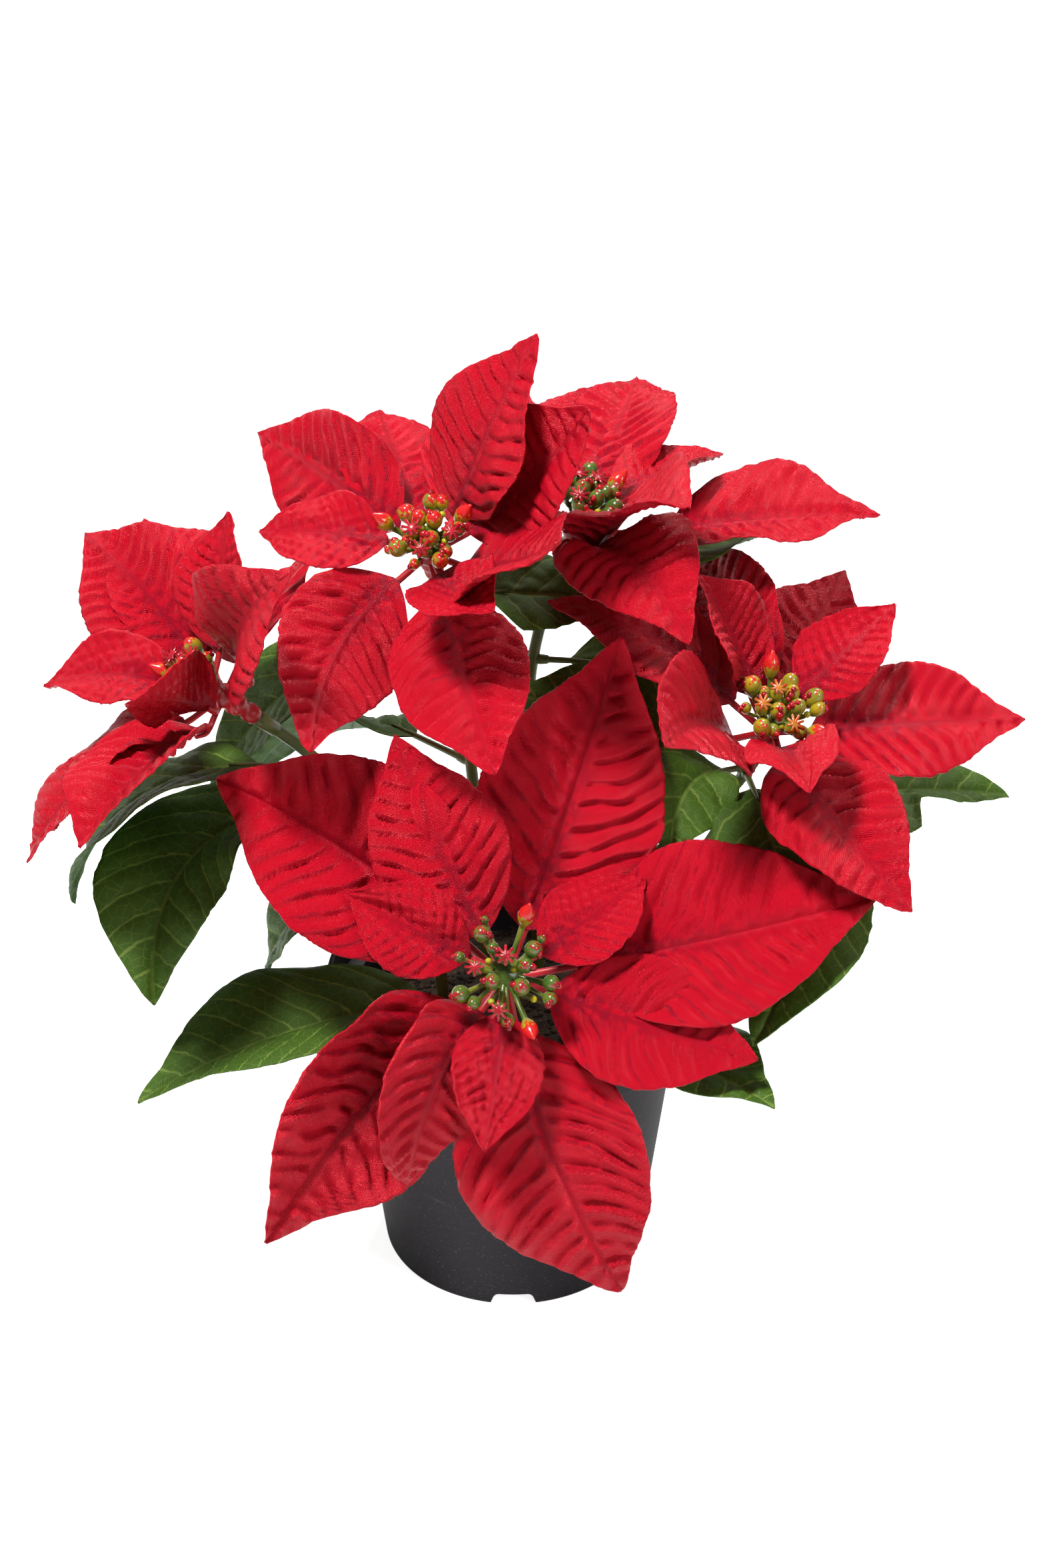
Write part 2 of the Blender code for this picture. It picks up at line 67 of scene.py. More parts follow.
# Bracts: kind, turn clockwise from the top, lift, bend to the tip, sweep to the tip, roll, fold,
# and any longer reach of the arm
BRACTS = {
    "front": (
        ("large", -49, 10, -25, -15, 0, 25),
        ("medium", -29, 10, -5, 10, 5, 20),
        ("large", 21, 10, -5, -5, -20, 10),
        ("large", 80, 5, 0, -5, 15, 15, 6),
        ("small", 57, 0, -25, -10, 20, 10),
        ("medium", 111, 5, 5, -5, 10, 15),
        ("large", 169, 5, -50, -25, -20, 5),
        ("small", -175, 15, -30, 5, 15, 10),
        ("medium", -145, 45, -110, -25, 45, 10),
        ("large", -130, 15, -20, -20, 40, 15),
        ("small", -65, 5, -15, 5, 5, 20),
    ),
    "back_left": (
        ("medium", 31, 55, -25, 0, 25, 15),
        ("medium", 60, 30, 35, 0, 0, 25),
        ("medium", -52, -10, -15, -5, 30, 15),
        ("small", -89, 10, -40, 5, -15, 15),
        ("medium", -26, -25, -15, 5, -25, 15),
        ("medium", -142, 15, -10, -45, 35, 5),
        ("medium", 160, 5, 10, -5, 0, 15),
        ("small", 150, 45, -5, -30, 5, 25),
        ("medium", 111, 45, 25, 0, 20, 20),
        ("medium", 20, -20, -15, -10, 0, 15),
    ),
    "left": (
        ("medium", -72, 30, -35, -20, -10, 10),
        ("medium", -64, 15, -30, -15, -35, 10),
        ("small", -21, 30, -10, 5, -5, 25),
        ("medium", 48, 70, -60, -10, -25, 30),
        ("medium", -42, -25, -15, -15, 10, 15),
        ("small", -122, 50, -45, -20, -15, 30),
        ("small", 112, 75, -15, 45, -25, 35),
        ("medium", 149, 50, -30, 0, 0, 35),
        ("medium", -167, 35, -40, -25, -25, 15),
    ),
    "right": (
        ("small", -14, 40, 0, -25, -15, 30),
        ("small", 68, 30, -15, 0, 15, 15),
        ("medium", 44, -15, 15, 5, 5, 10),
        ("medium", 110, 15, -5, 0, 0, 15),
        ("medium", 182, 25, -35, -25, -5, 20),
        ("small", -165, 55, -30, 10, -25, 30),
        ("medium", -93, 55, -25, -40, 15, 25),
        ("medium", -35, 20, -30, -20, -15, 20),
        ("medium", 8, -5, -15, 10, 50, 15),
    ),
    "back_right": (
        ("medium", 59, 15, -40, 10, 20, 15),
        ("medium", 71, 25, -45, 0, 30, 15),
        ("medium", 145, 25, -5, 5, 5, 30, 16),
        ("medium", -144, 75, -40, 0, -25, 35),
        ("small", 112, 40, -45, 5, 35, 25),
        ("medium", -135, 55, -80, -30, -25, 25),
        ("medium", 0, -10, -40, 0, 0, 15),
    ),
}

# Stems: where each leaves the fill, pull at the foot, pull at the hub
STEMS = {
    "front": ((0, -22), 40, 22),
    "back_left": ((-9, 6), 80, 60),
    "left": ((-22, -6), 60, 50),
    "right": ((20, -4), 60, 45),
    "back_right": ((8, 20), 80, 60),
}

# Leaves: kind, place along the stem, compass turn from the back, lift, bend, sweep, roll, fold,
# and 1 for a leaf whose side away from the back is cut in past a tooth
LEAVES = {
    "front": (
        ("long leaf", 0.3, -98, 0, -20, -20, -5, 25),
        ("leaf", 0.35, 126, 5, 0, 15, 5, 10),
    ),
    "back_left": (
        ("leaf", 0.75, -75, -25, -40, -40, 0, 15),
        ("leaf", 0.45, -55, 5, -75, -10, -40, 10),
        ("small leaf", 0.85, 90, 5, -20, 0, -20, 10),
    ),
    "left": (
        ("leaf", 0.62, -99, -5, -50, -95, -5, 30),
        ("leaf", 0.72, -101, 10, -95, 0, -20, 10),
        ("short leaf", 0.45, -73, -45, -30, 0, 20, 20),
    ),
    "right": (
        ("small leaf", 0.9, -135, 35, -105, -40, 30, 15),
        ("small leaf", 0.55, 81, -5, -15, -10, -5, 15),
        ("leaf", 0.65, 83, 10, -30, -10, -5, 15, 1),
        ("leaf", 0.8, 154, -5, -30, 65, 0, 15),
        ("short leaf", 0.88, 175, 15, -85, -20, -20, 5),
        ("short leaf", 0.92, -80, 15, -5, 0, 35, 10),
    ),
    "back_right": (
        ("short leaf", 0.92, 80, 10, 0, 0, 15, 0),
        ("small leaf", 0.72, 95, 0, -10, 0, -35, 10),
    ),
}

# Flower centres: how far the cups spread
CUP_SPREAD = {
    "front": 18.0,
    "back_left": 13.0,
    "left": 10.0,
    "right": 14.0,
    "back_right": 12.0,
}
CUPS = 10
DISC_RADIUS = 5.0
GOLDEN_ANGLE = math.radians(137.508)

# Gap left between parts that would touch
SEAT_GAP = 0.3

# Pot, as built
BASE_RADIUS = 42.6
WALL_TOP_RADIUS = 53.7
RIM_RADIUS = 60.0
RIM_LOWER_Z = 90.7
POT_HEIGHT = 102.3
WALL = 1.5
FLOOR_UNDER_Z = 5.0
FLOOR_Z = 8.0
FOOT_WIDTH = 3.4
PAD_RADIUS = 22.0
NOTCH_TOP_WIDTH = 12.0
NOTCH_FOOT_WIDTH = 15.0
NOTCH_HEIGHT = 5.0
NOTCH_TURNS = (0.0, 120.0, 240.0)
FILL_Z = 86.0
HOLE_BOTTOM_Z = 44.0
WALL_SLOPE = (WALL_TOP_RADIUS - BASE_RADIUS) / RIM_LOWER_Z

# Fill: how much lower it lies at the wall, and the height and spacing of its lumps
FILL_DISH = 2.5
LUMP_HEIGHT = 0.5
LUMP_STEP = 14.0

# Stems and hubs, as built
STEM_RADIUS = 1.9
COLLAR_LENGTH = 24.0
SOCKET_DEPTH = 8.0
ARM_HALF_WIDTH = 1.2
ARM_LIFT_LIMIT = 18.0
MIDRIB_STEPS = 48
STEM_STEPS = 12

# Cloth: its thickness, one unit of the weave's map, half the width of a tip
CLOTH = 0.35
WEAVE_UNIT = 100.0
TIP_HALF_WIDTH = 0.3

# Leaves: where a cut side has its tooth, waves along an edge and their height, distance between
# side veins, height of the pillows between them, and how far a young leaf sags
TOOTH_SHARE = 0.52
LEAF_WAVES = 1.5
LEAF_WAVE_HEIGHT = 1.8
LEAF_VEIN_STEP = 9.5
LEAF_PILLOW = 1.0
YOUNG_LEAF_SAG = 1.2

# Seeds of the random draws
BRACT_SEED = 11
LEAF_SEED = 71
CENTRE_SEED = 41
FILL_SEED = 3
GRAIN_SEED = 5

# Grid of a blade: cells along it and across it
CELLS = {
    "large": (96, 60),
    "medium": (68, 44),
    "small": (54, 38),
    "long leaf": (74, 40),
    "leaf": (66, 36),
    "short leaf": (50, 30),
    "small leaf": (42, 26),
}

# Embossing of a bract: distance between ripples, their height, and the rib (ridge +, groove -)
EMBOSSING = {
    "large": (7.2, 1.05, -0.6),
    "medium": (5.6, 0.9, 0.5),
    "small": (3.6, 0.5, 0.5),
}


UP = np.array((0.0, 0.0, 1.0))
LEVEL_AXES = tuple(np.eye(3))


def unit(vector):
    return vector / np.linalg.norm(vector, axis=-1, keepdims=True)


def ease(low, high, value):
    """0 below low, 1 above high, and a smooth climb between."""
    share = np.clip((value - low) / (high - low), 0.0, 1.0)
    return share * share * (3.0 - 2.0 * share)


def soft_noise(x, y, draw, waves=6):
    """Smooth bumps about 1 high in a field where 1 is one wavelength."""
    total = np.zeros(np.broadcast(x, y).shape)
    for _ in range(waves):
        heading = draw.uniform(0.0, 2.0 * math.pi)
        rate = draw.uniform(0.6, 1.6) * 2.0 * math.pi
        start = draw.uniform(0.0, 2.0 * math.pi)
        total += np.sin((x * math.cos(heading) + y * math.sin(heading)) * rate + start)
    return total / math.sqrt(waves)


def axes_facing(turn, rise):
    """Right, up and outward axes of a flower that faces the given way."""
    turn, rise = np.radians((turn, rise))
    outward = np.array((math.sin(turn) * math.cos(rise), -math.cos(turn) * math.cos(rise), math.sin(rise)))
    up = unit(UP - outward * outward[2])
    return np.cross(up, outward), up, outward


def direction_at(axes, turn, lift):
    """Direction and face of a blade at a turn and a lift, one row for each pair."""
    right, up, outward = axes
    turn = np.radians(np.atleast_1d(turn))[:, None]
    lift = np.radians(np.atleast_1d(lift))[:, None]
    flat = up * np.cos(turn) + right * np.sin(turn)
    return flat * np.cos(lift) + outward * np.sin(lift), outward * np.cos(lift) - flat * np.sin(lift)


def midrib(root, axes, blade, shares):
    """Places, directions and normals of a blade's midrib at the given shares of its length."""
    kind, turn, lift, bend, sweep = blade[:5]
    steps = np.linspace(0.0, 1.0, MIDRIB_STEPS + 1)
    along, _ = direction_at(axes, turn + sweep * steps, lift + bend * steps)
    travel = np.vstack((np.zeros(3), np.cumsum(along[:-1], axis=0))) * KINDS[kind][0] / MIDRIB_STEPS
    places = root + np.stack([np.interp(shares, steps, travel[:, axis]) for axis in range(3)], axis=1)
    along, normal = direction_at(axes, turn + sweep * shares, lift + bend * shares)
    return places, along, normal


def arm_end(start, axes, blade):
    """Where a blade's arm or stalk ends; it isn't as steep as the steepest blades."""
    kind, turn, lift = blade[:3]
    longer = blade[7] if len(blade) > 7 else 0.0
    lift = max(-ARM_LIFT_LIMIT, min(ARM_LIFT_LIMIT, lift))
    along, _ = direction_at(axes, turn, lift)
    return start + along[0] * (KINDS[kind][2] + longer)


def half_width(share, kind):
    """Outline of a blade: round at the stalk and drawn out to a point at the tip."""
    body = np.sin(math.pi * np.minimum(share, 1.0) ** 0.82) ** 0.9
    tip = np.clip((share - 0.72) / 0.28, 0.0, 1.0) * np.clip((1.0 - share) / 0.14, 0.0, 1.0)
    return KINDS[kind][1] / 2.0 * np.maximum(body, 0.0) * (1.0 - 0.35 * tip)


def tooth_cut(share):
    """What a leaf's cut side keeps of its half width: it swells to a tooth and is cut in past it."""
    before = 1.0 + 0.12 * (np.minimum(share, TOOTH_SHARE) / TOOTH_SHARE) ** 3
    after = 0.5 + 0.5 * (np.maximum(share - TOOTH_SHARE, 0.0) / (1.0 - TOOTH_SHARE)) ** 2
    return before + (after - before) * ease(TOOTH_SHARE, TOOTH_SHARE + 0.05, share)


def bract_relief(kind, shares, sides, along, out, draw):
    """Height of the pressed ripples, the rib and the slack of a bract, and its ripple count."""
    step, height, rib = EMBOSSING[kind]
    far = np.abs(out)
    width = np.abs(sides)
    # Ripples curve from the rib to the edge, and swell in places
    shift = 0.16 * soft_noise(along / 24.0, out / 22.0, draw)
    bent = 0.35 * far + 0.012 * far ** 2
    count = (along - bent) / step + shift + 0.5 * (out > 0.0)
    turn = 2.0 * math.pi * count
    swell = np.clip(0.9 + 0.5 * soft_noise(along / 15.0, out / 12.0, draw), 0.2, 1.7)
    ripple = np.sin(turn + 0.75 * np.sin(turn)) + 0.3 * np.sin(2.0 * turn + 1.9)
    # All are held flat at the rib and the root, and partly at the edge and the tip
    held = ease(0.02, 0.18, width) * (1.0 - 0.7 * ease(0.78, 1.0, width))
    held *= ease(0.02, 0.16, shares) * (1.0 - 0.6 * ease(0.85, 1.0, shares))
    relief = height * swell * ripple * held
    # Finer creases cross them in patches
    crinkle = np.sin(2.0 * math.pi * (2.7 * count + 0.5 * soft_noise(along / 9.0, out / 7.0, draw)))
    creased = ease(0.2, 1.4, soft_noise(along / 20.0, out / 16.0, draw))
    relief += 0.28 * height * crinkle * creased * held
    if kind == "small":
        # Crepe, and a raised edge
        cross = np.cos(2.0 * math.pi * (far / 3.0 + 0.35 * count + 0.4 * shift))
        relief += 0.4 * cross * held * (0.6 + 0.4 * soft_noise(along / 6.0, out / 6.0, draw))
        relief += 0.35 * ease(0.86, 0.97, width) * ease(0.05, 0.2, shares)
    # The rib, with a hollow or ridge on each side of it
    relief += rib * np.exp(-(far / 0.9) ** 2) * ease(0.02, 0.1, shares)
    relief -= 0.5 * rib * np.exp(-((far - 2.4) / 1.2) ** 2) * ease(0.02, 0.1, shares)
    # Slack in the cloth, and waves along each edge
    slack = 1.4 * soft_noise(along / 46.0, out / 34.0, draw) * ease(0.05, 0.5, width)
    wave = 1.4 * width ** 2 * np.sin(2.0 * math.pi * (1.7 * shares + draw.random()) + 1.4 * np.sign(out))
    relief += (slack + wave) * np.sin(math.pi * shares) ** 0.7
    return relief, count


def frayed_edge(shares, draw):
    """How far a cut edge of cloth strays on each side: slow waves and a thread's width of grain."""
    grain = draw.normal(0.0, 0.11, (len(shares), 2))
    slow = np.stack([0.25 * soft_noise(shares * 9.0, shares * 0.0, draw) for _ in range(2)], axis=1)
    return (grain + slow) * np.sin(math.pi * np.minimum(shares, 1.0))[:, None] ** 0.5


def leaf_relief(kind, shares, sides, along, out, draw):
    """Height of a leaf's pillows between its veins and of its waved edge, and its vein count."""
    far = np.abs(out)
    width = np.abs(sides)
    shift = 0.1 * soft_noise(along / 30.0, out / 24.0, draw)
    count = (along - 0.7 * far - 0.014 * far ** 2) / LEAF_VEIN_STEP + shift + 0.45 * (out > 0.0)
    # Pillows between the veins are flat at the midrib and the root, and lower at the edge and tip
    pillow = np.abs(np.sin(math.pi * count)) ** 0.55
    held = ease(0.0, 0.2, width) * (1.0 - 0.75 * ease(0.75, 1.0, width))
    held *= ease(0.02, 0.14, shares) * (1.0 - 0.6 * ease(0.85, 1.0, shares))
    relief = LEAF_PILLOW * (pillow - 0.6) * held
    relief -= 0.7 * np.exp(-(far / 1.0) ** 2) * ease(0.0, 0.06, shares)
    relief += 0.16 * soft_noise(along / 5.0, out / 4.0, draw) * held
    # Long waves along each edge, with finer ones and slack in the cloth
    turn = 2.0 * math.pi * LEAF_WAVES * shares + np.where(sides < 0.0, 0.0, 1.9)
    relief += LEAF_WAVE_HEIGHT * width ** 2 * np.sin(math.pi * shares) * np.sin(turn)
    fine = 0.8 * width ** 2 * np.sin(2.0 * math.pi * (3.1 * shares + draw.random()))
    slack = 0.9 * soft_noise(along / 40.0, out / 30.0, draw) * ease(0.05, 0.5, width)
    relief += (fine + slack) * np.sin(math.pi * shares) ** 0.7
    if kind in ("short leaf", "small leaf"):
        relief -= YOUNG_LEAF_SAG * ease(0.05, 0.4, shares)
    return relief, count


def empty_skin():
    """What several blades are gathered in before they become one mesh."""
    return {"points": [], "quads": [], "weave": [], "veins": [], "facts": [], "size": 0}


def add_shell(skin, points, weave, veins, facts, thickness):
    """Give a grid of points two faces and a rim, and add it to the skin."""
    rows, columns = points.shape[:2]
    across = np.gradient(points, axis=1)
    along = np.gradient(points, axis=0)
    normal = unit(np.cross(across, along) + 1e-9)
    upper = (points + normal * thickness / 2.0).reshape(-1, 3)
    lower = (points - normal * thickness / 2.0).reshape(-1, 3)
    spots = np.arange(rows * columns).reshape(rows, columns)
    a = spots[:-1, :-1].ravel()
    b = spots[:-1, 1:].ravel()
    c = spots[1:, 1:].ravel()
    d = spots[1:, :-1].ravel()
    below = rows * columns
    top = np.stack((a, b, c, d), axis=1)
    under = np.stack((d, c, b, a), axis=1) + below
    loop = np.concatenate((spots[0, :], spots[1:, -1], spots[-1, -2::-1], spots[-2:0:-1, 0]))
    after = np.roll(loop, -1)
    rim = np.stack((loop + below, after + below, after, loop), axis=1)
    skin["quads"].append(np.concatenate((top, under, rim)) + skin["size"])
    skin["points"].extend((upper, lower))
    for name, values in (("weave", weave), ("veins", veins)):
        flat = values.reshape(-1, 2)
        skin[name].extend((flat, flat))
    shade = np.stack([np.broadcast_to(value, (rows, columns)).ravel() for value in facts], axis=1)
    for side in (0.0, 1.0):
        marks = np.ones((rows * columns, 4))
        marks[:, 0] = shade[:, 0]
        marks[:, 1] = side
        marks[:, 2] = shade[:, 1]
        skin["facts"].append(marks)
    skin["size"] += 2 * below


def add_blade(skin, root, axes, blade, draw, toothed=False):
    """Add a bract or leaf to the skin: its midrib, outline, fold, pressed relief and maps."""
    kind = blade[0]
    roll, fold = blade[5:7]
    rows, columns = CELLS[kind]
    # Rows lie a little closer at the middle, and columns closer to the rib
    even = np.linspace(0.0, 1.0, rows + 1)
    shares = even + 0.03 * np.sin(2.0 * math.pi * even) / 2.0
    even = np.linspace(-1.0, 1.0, columns + 1)
    sides = np.sign(even) * np.abs(even) ** 1.2
    places, along, normal = midrib(root, axes, blade, shares)
    across = np.cross(along, normal)
    angle = (math.radians(roll) * np.minimum(1.0, shares / 0.3))[:, None]
    side_axis = across * np.cos(angle) + normal * np.sin(angle)
    face_axis = normal * np.cos(angle) - across * np.sin(angle)
    narrowest = np.where(shares < 0.5, ARM_HALF_WIDTH, TIP_HALF_WIDTH)
    width = np.maximum(half_width(shares, kind), narrowest)
    share_grid, side_grid = np.meshgrid(shares, sides, indexing="ij")
    stray = frayed_edge(shares, draw)
    out = side_grid * width[:, None]
    out = out + ease(0.8, 1.0, -side_grid) * -stray[:, :1] + ease(0.8, 1.0, side_grid) * stray[:, 1:]
    rise = math.tan(math.radians(fold)) * (np.abs(side_grid) - 0.35 * side_grid ** 2) * width[:, None]
    if toothed:
        out = np.where(side_grid > 0.0, out * tooth_cut(share_grid), out)
    length = share_grid * KINDS[kind][0]
    relief_of = leaf_relief if kind.endswith("leaf") else bract_relief
    relief, count = relief_of(kind, share_grid, side_grid, length, out, draw)
    rise = rise + relief
    aside = side_axis[:, None, :] * out[..., None]
    lifted = face_axis[:, None, :] * rise[..., None]
    points = places[:, None, :] + aside + lifted
    weave = np.stack((out, length), axis=-1) / WEAVE_UNIT + draw.random(2)
    veins = np.stack((count, out), axis=-1)
    add_shell(skin, points, weave, veins, (draw.random(), share_grid), CLOTH)


def skin_object(name, skin, surface):
    """One mesh of all the blades in a skin, with the maps that its finish reads."""
    points = np.concatenate(skin["points"]) * MM
    quads = np.concatenate(skin["quads"])
    mesh = bpy.data.meshes.new(name)
    mesh.vertices.add(len(points))
    mesh.vertices.foreach_set("co", points.ravel())
    mesh.loops.add(quads.size)
    mesh.loops.foreach_set("vertex_index", quads.ravel())
    mesh.polygons.add(len(quads))
    mesh.polygons.foreach_set("loop_start", np.arange(0, quads.size, 4))
    mesh.update(calc_edges=True)
    for key in ("weave", "veins"):
        layer = mesh.uv_layers.new(name=key)
        layer.uv.foreach_set("vector", np.concatenate(skin[key])[quads.ravel()].ravel())
    marks = mesh.color_attributes.new("facts", "FLOAT_COLOR", "POINT")
    marks.data.foreach_set("color", np.concatenate(skin["facts"]).ravel())
    mesh.shade_smooth()
    mesh.materials.append(surface)
    mesh.validate()
    return link_new(name, mesh)


def new_surface(name):
    surface = bpy.data.materials.new(name)
    surface.use_nodes = True
    tree = surface.node_tree
    return surface, tree, tree.nodes["Principled BSDF"]


def value_of(socket, source):
    """Feed a socket from another socket, or give it a plain value; a colour needs no alpha."""
    if isinstance(source, bpy.types.NodeSocket):
        socket.id_data.links.new(source, socket)
    elif socket.type == "RGBA":
        socket.default_value = (*source, 1.0)
    else:
        socket.default_value = source


def tree_of(*sources):
    """The node tree of the first socket among some sockets and plain values."""
    return next(source.id_data for source in sources if isinstance(source, bpy.types.NodeSocket))


def add_node(tree, kind, inputs=None, **settings):
    """A node with its settings, and its inputs by index or name."""
    node = tree.nodes.new(kind)
    for title, value in settings.items():
        setattr(node, title, value)
    for key, source in (inputs or {}).items():
        value_of(node.inputs[key], source)
    return node


def feed(node, **given):
    """Give a node its inputs by name, where an underscore stands for a space."""
    for title, source in given.items():
        value_of(node.inputs[title.replace("_", " ")], source)
    return node.outputs


def maths(operation, *sources):
    node = add_node(tree_of(*sources), "ShaderNodeMath", dict(enumerate(sources)), operation=operation)
    return node.outputs[0]


def times(first, second):
    return maths("MULTIPLY", first, second)


def plus(first, second):
    return maths("ADD", first, second)


def less(first, second):
    return maths("SUBTRACT", first, second)


def larger(first, second):
    return maths("MAXIMUM", first, second)


def scaled(value, factor, added):
    """A value times a factor, with something added."""
    return maths("MULTIPLY_ADD", value, factor, added)


def blend(factor, first, second):
    """A mix of two colours."""
    inputs = {0: factor, 6: first, 7: second}
    return add_node(tree_of(factor, first, second), "ShaderNodeMix", inputs, data_type="RGBA").outputs[2]


def layered(colour, *layers):
    """A colour with others laid over it, each by its own share."""
    for share, other in layers:
        colour = blend(share, colour, other)
    return colour


def spread(value, low, high, to_low=0.0, to_high=1.0):
    """Stretch a value from one range to another with smooth ends."""
    inputs = dict(enumerate((value, low, high, to_low, to_high)))
    node = add_node(tree_of(value), "ShaderNodeMapRange", inputs, interpolation_type="SMOOTHSTEP")
    return node.outputs[0]


def clouds(vector, scale, detail=2.0, roughness=0.5):
    inputs = {0: vector, 2: scale, 3: detail, 4: roughness}
    return add_node(tree_of(vector), "ShaderNodeTexNoise", inputs).outputs[0]


def bump(height, strength, distance):
    inputs = {"Height": height, "Strength": strength, "Distance": distance}
    return add_node(tree_of(height), "ShaderNodeBump", inputs).outputs["Normal"]


def map_of(tree, key):
    return add_node(tree, "ShaderNodeUVMap", uv_map=key).outputs[0]


def parts_of(vector):
    return add_node(tree_of(vector), "ShaderNodeSeparateXYZ", {0: vector}).outputs


def facts_of(tree):
    """Tint of the blade, underside and share of its length, as stored on its points."""
    facts = add_node(tree, "ShaderNodeVertexColor", layer_name="facts").outputs[0]
    return add_node(tree, "ShaderNodeSeparateColor", {0: facts}).outputs


def places_of(tree):
    return add_node(tree, "ShaderNodeTexCoord").outputs["Object"]


def new_group(name, vectors, values, results):
    """A shader node group with vector and number inputs and number outputs, and its two ends."""
    group = bpy.data.node_groups.new(name, "ShaderNodeTree")
    for title in vectors:
        group.interface.new_socket(title, in_out="INPUT", socket_type="NodeSocketVector")
    for title, value in values.items():
        socket = group.interface.new_socket(title, in_out="INPUT", socket_type="NodeSocketFloat")
        socket.default_value = value
    for title in results:
        group.interface.new_socket(title, in_out="OUTPUT", socket_type="NodeSocketFloat")
    return group, add_node(group, "NodeGroupInput").outputs, add_node(group, "NodeGroupOutput")


def use_group(group, **given):
    return feed(add_node(tree_of(*given.values()), "ShaderNodeGroup", node_tree=group), **given)


def twill_group():
    """Woven twill: fine slanting ribs crossed by threads, with an uneven nap."""
    group, given, taken = new_group("Twill weave", ("Place",), {"Threads": 140.0}, ("Height", "Shade"))
    place, threads = given[:2]
    across, along, _ = parts_of(place)
    waver = times(clouds(place, 60.0), 0.8)
    slant = times(plus(along, times(across, 0.85)), threads)
    ribs = maths("SINE", times(plus(slant, waver), 2.0 * math.pi))
    cross = times(less(across, along), threads)
    crossing = maths("SINE", times(cross, 2.6 * math.pi))
    woven = plus(times(ribs, 0.65), times(crossing, 0.75))
    nap = less(clouds(place, 420.0, 2.0), 0.5)
    woven = plus(woven, times(nap, 1.6))
    feed(taken, Height=woven, Shade=scaled(woven, 0.16, 0.5))
    return group


def vein_group():
    """Printed veins: lines along the midrib and the side veins, and a net of fine ones between them."""
    group, given, taken = new_group(
        "Printed veins", ("Place", "Veins"), {"Net cells": 22.0, "Line": 0.07}, ("Rib", "Side veins", "Net")
    )
    place, veins, net_cells, line = given[:4]
    count, out, _ = parts_of(veins)
    waver = times(less(clouds(place, 30.0), 0.5), 0.25)
    apart = maths("PINGPONG", plus(count, waver), 0.5)
    cells = add_node(group, "ShaderNodeTexVoronoi", {"Vector": place, "Scale": net_cells},
                     voronoi_dimensions="2D", feature="DISTANCE_TO_EDGE")
    feed(taken, Rib=spread(maths("ABSOLUTE", out), 0.3, 1.1, 1.0, 0.0),
         Side_veins=spread(apart, times(line, 0.35), line, 1.0, 0.0),
         Net=spread(cells.outputs["Distance"], 0.015, 0.05, 1.0, 0.0))
    return group


def dust_group():
    """Uneven tone and fine dust on moulded plastic."""
    group, given, taken = new_group(
        "Tone and dust", ("Place",), {"Patches": 40.0, "Grains": 900.0}, ("Tone", "Specks", "Grain")
    )
    place, patches, grains = given[:3]
    fine = clouds(place, grains, 1.0)
    feed(taken, Tone=clouds(place, patches, 4.0), Specks=spread(fine, 0.66, 0.74), Grain=fine)
    return group


TWILL = twill_group()
VEINS = vein_group()
DUST = dust_group()


def bract_cloth():
    """Satin red cloth, with dark dye that has run along the rib and the pressed veins."""
    surface, tree, shader = new_surface("red bract cloth")
    place = map_of(tree, "weave")
    marks = map_of(tree, "veins")
    tint, under, share = facts_of(tree)
    _, out, _ = parts_of(marks)
    twill = use_group(TWILL, Place=place, Threads=190.0)
    lines = use_group(VEINS, Place=place, Veins=marks, Line=0.12)
    stain = spread(clouds(place, 34.0, 3.0, 0.65), 0.38, 0.58)
    near = spread(share, 0.05, 0.8, 1.0, 0.2)
    far = maths("ABSOLUTE", out)
    by_rib = spread(far, 0.3, 8.0, 1.0, 0.0)
    runs = times(lines["Side veins"], spread(share, 0.1, 0.9, 0.9, 0.15))
    dye = times(larger(times(by_rib, near), runs), stain)
    line = times(spread(far, 0.2, 1.0, 0.8, 0.0), spread(share, 0.0, 0.95, 1.0, 0.3))
    dye = times(larger(dye, line), 0.85)
    colour = layered(
        (0.50, 0.003, 0.016),
        (tint, (0.60, 0.005, 0.021)),
        (clouds(place, 9.0, 3.0), (0.42, 0.002, 0.014)),
        (dye, (0.085, 0.003, 0.016)),
        (times(twill["Shade"], 0.5), (0.36, 0.001, 0.008)),
        (times(under, 0.35), (0.50, 0.01, 0.02)),
    )
    feed(shader, Base_Color=colour, Roughness=scaled(twill["Shade"], 0.16, 0.23),
         Normal=bump(twill["Height"], 0.6, 0.00016), Specular_IOR_Level=1.0,
         Specular_Tint=(1.0, 0.13, 0.15))
    return surface


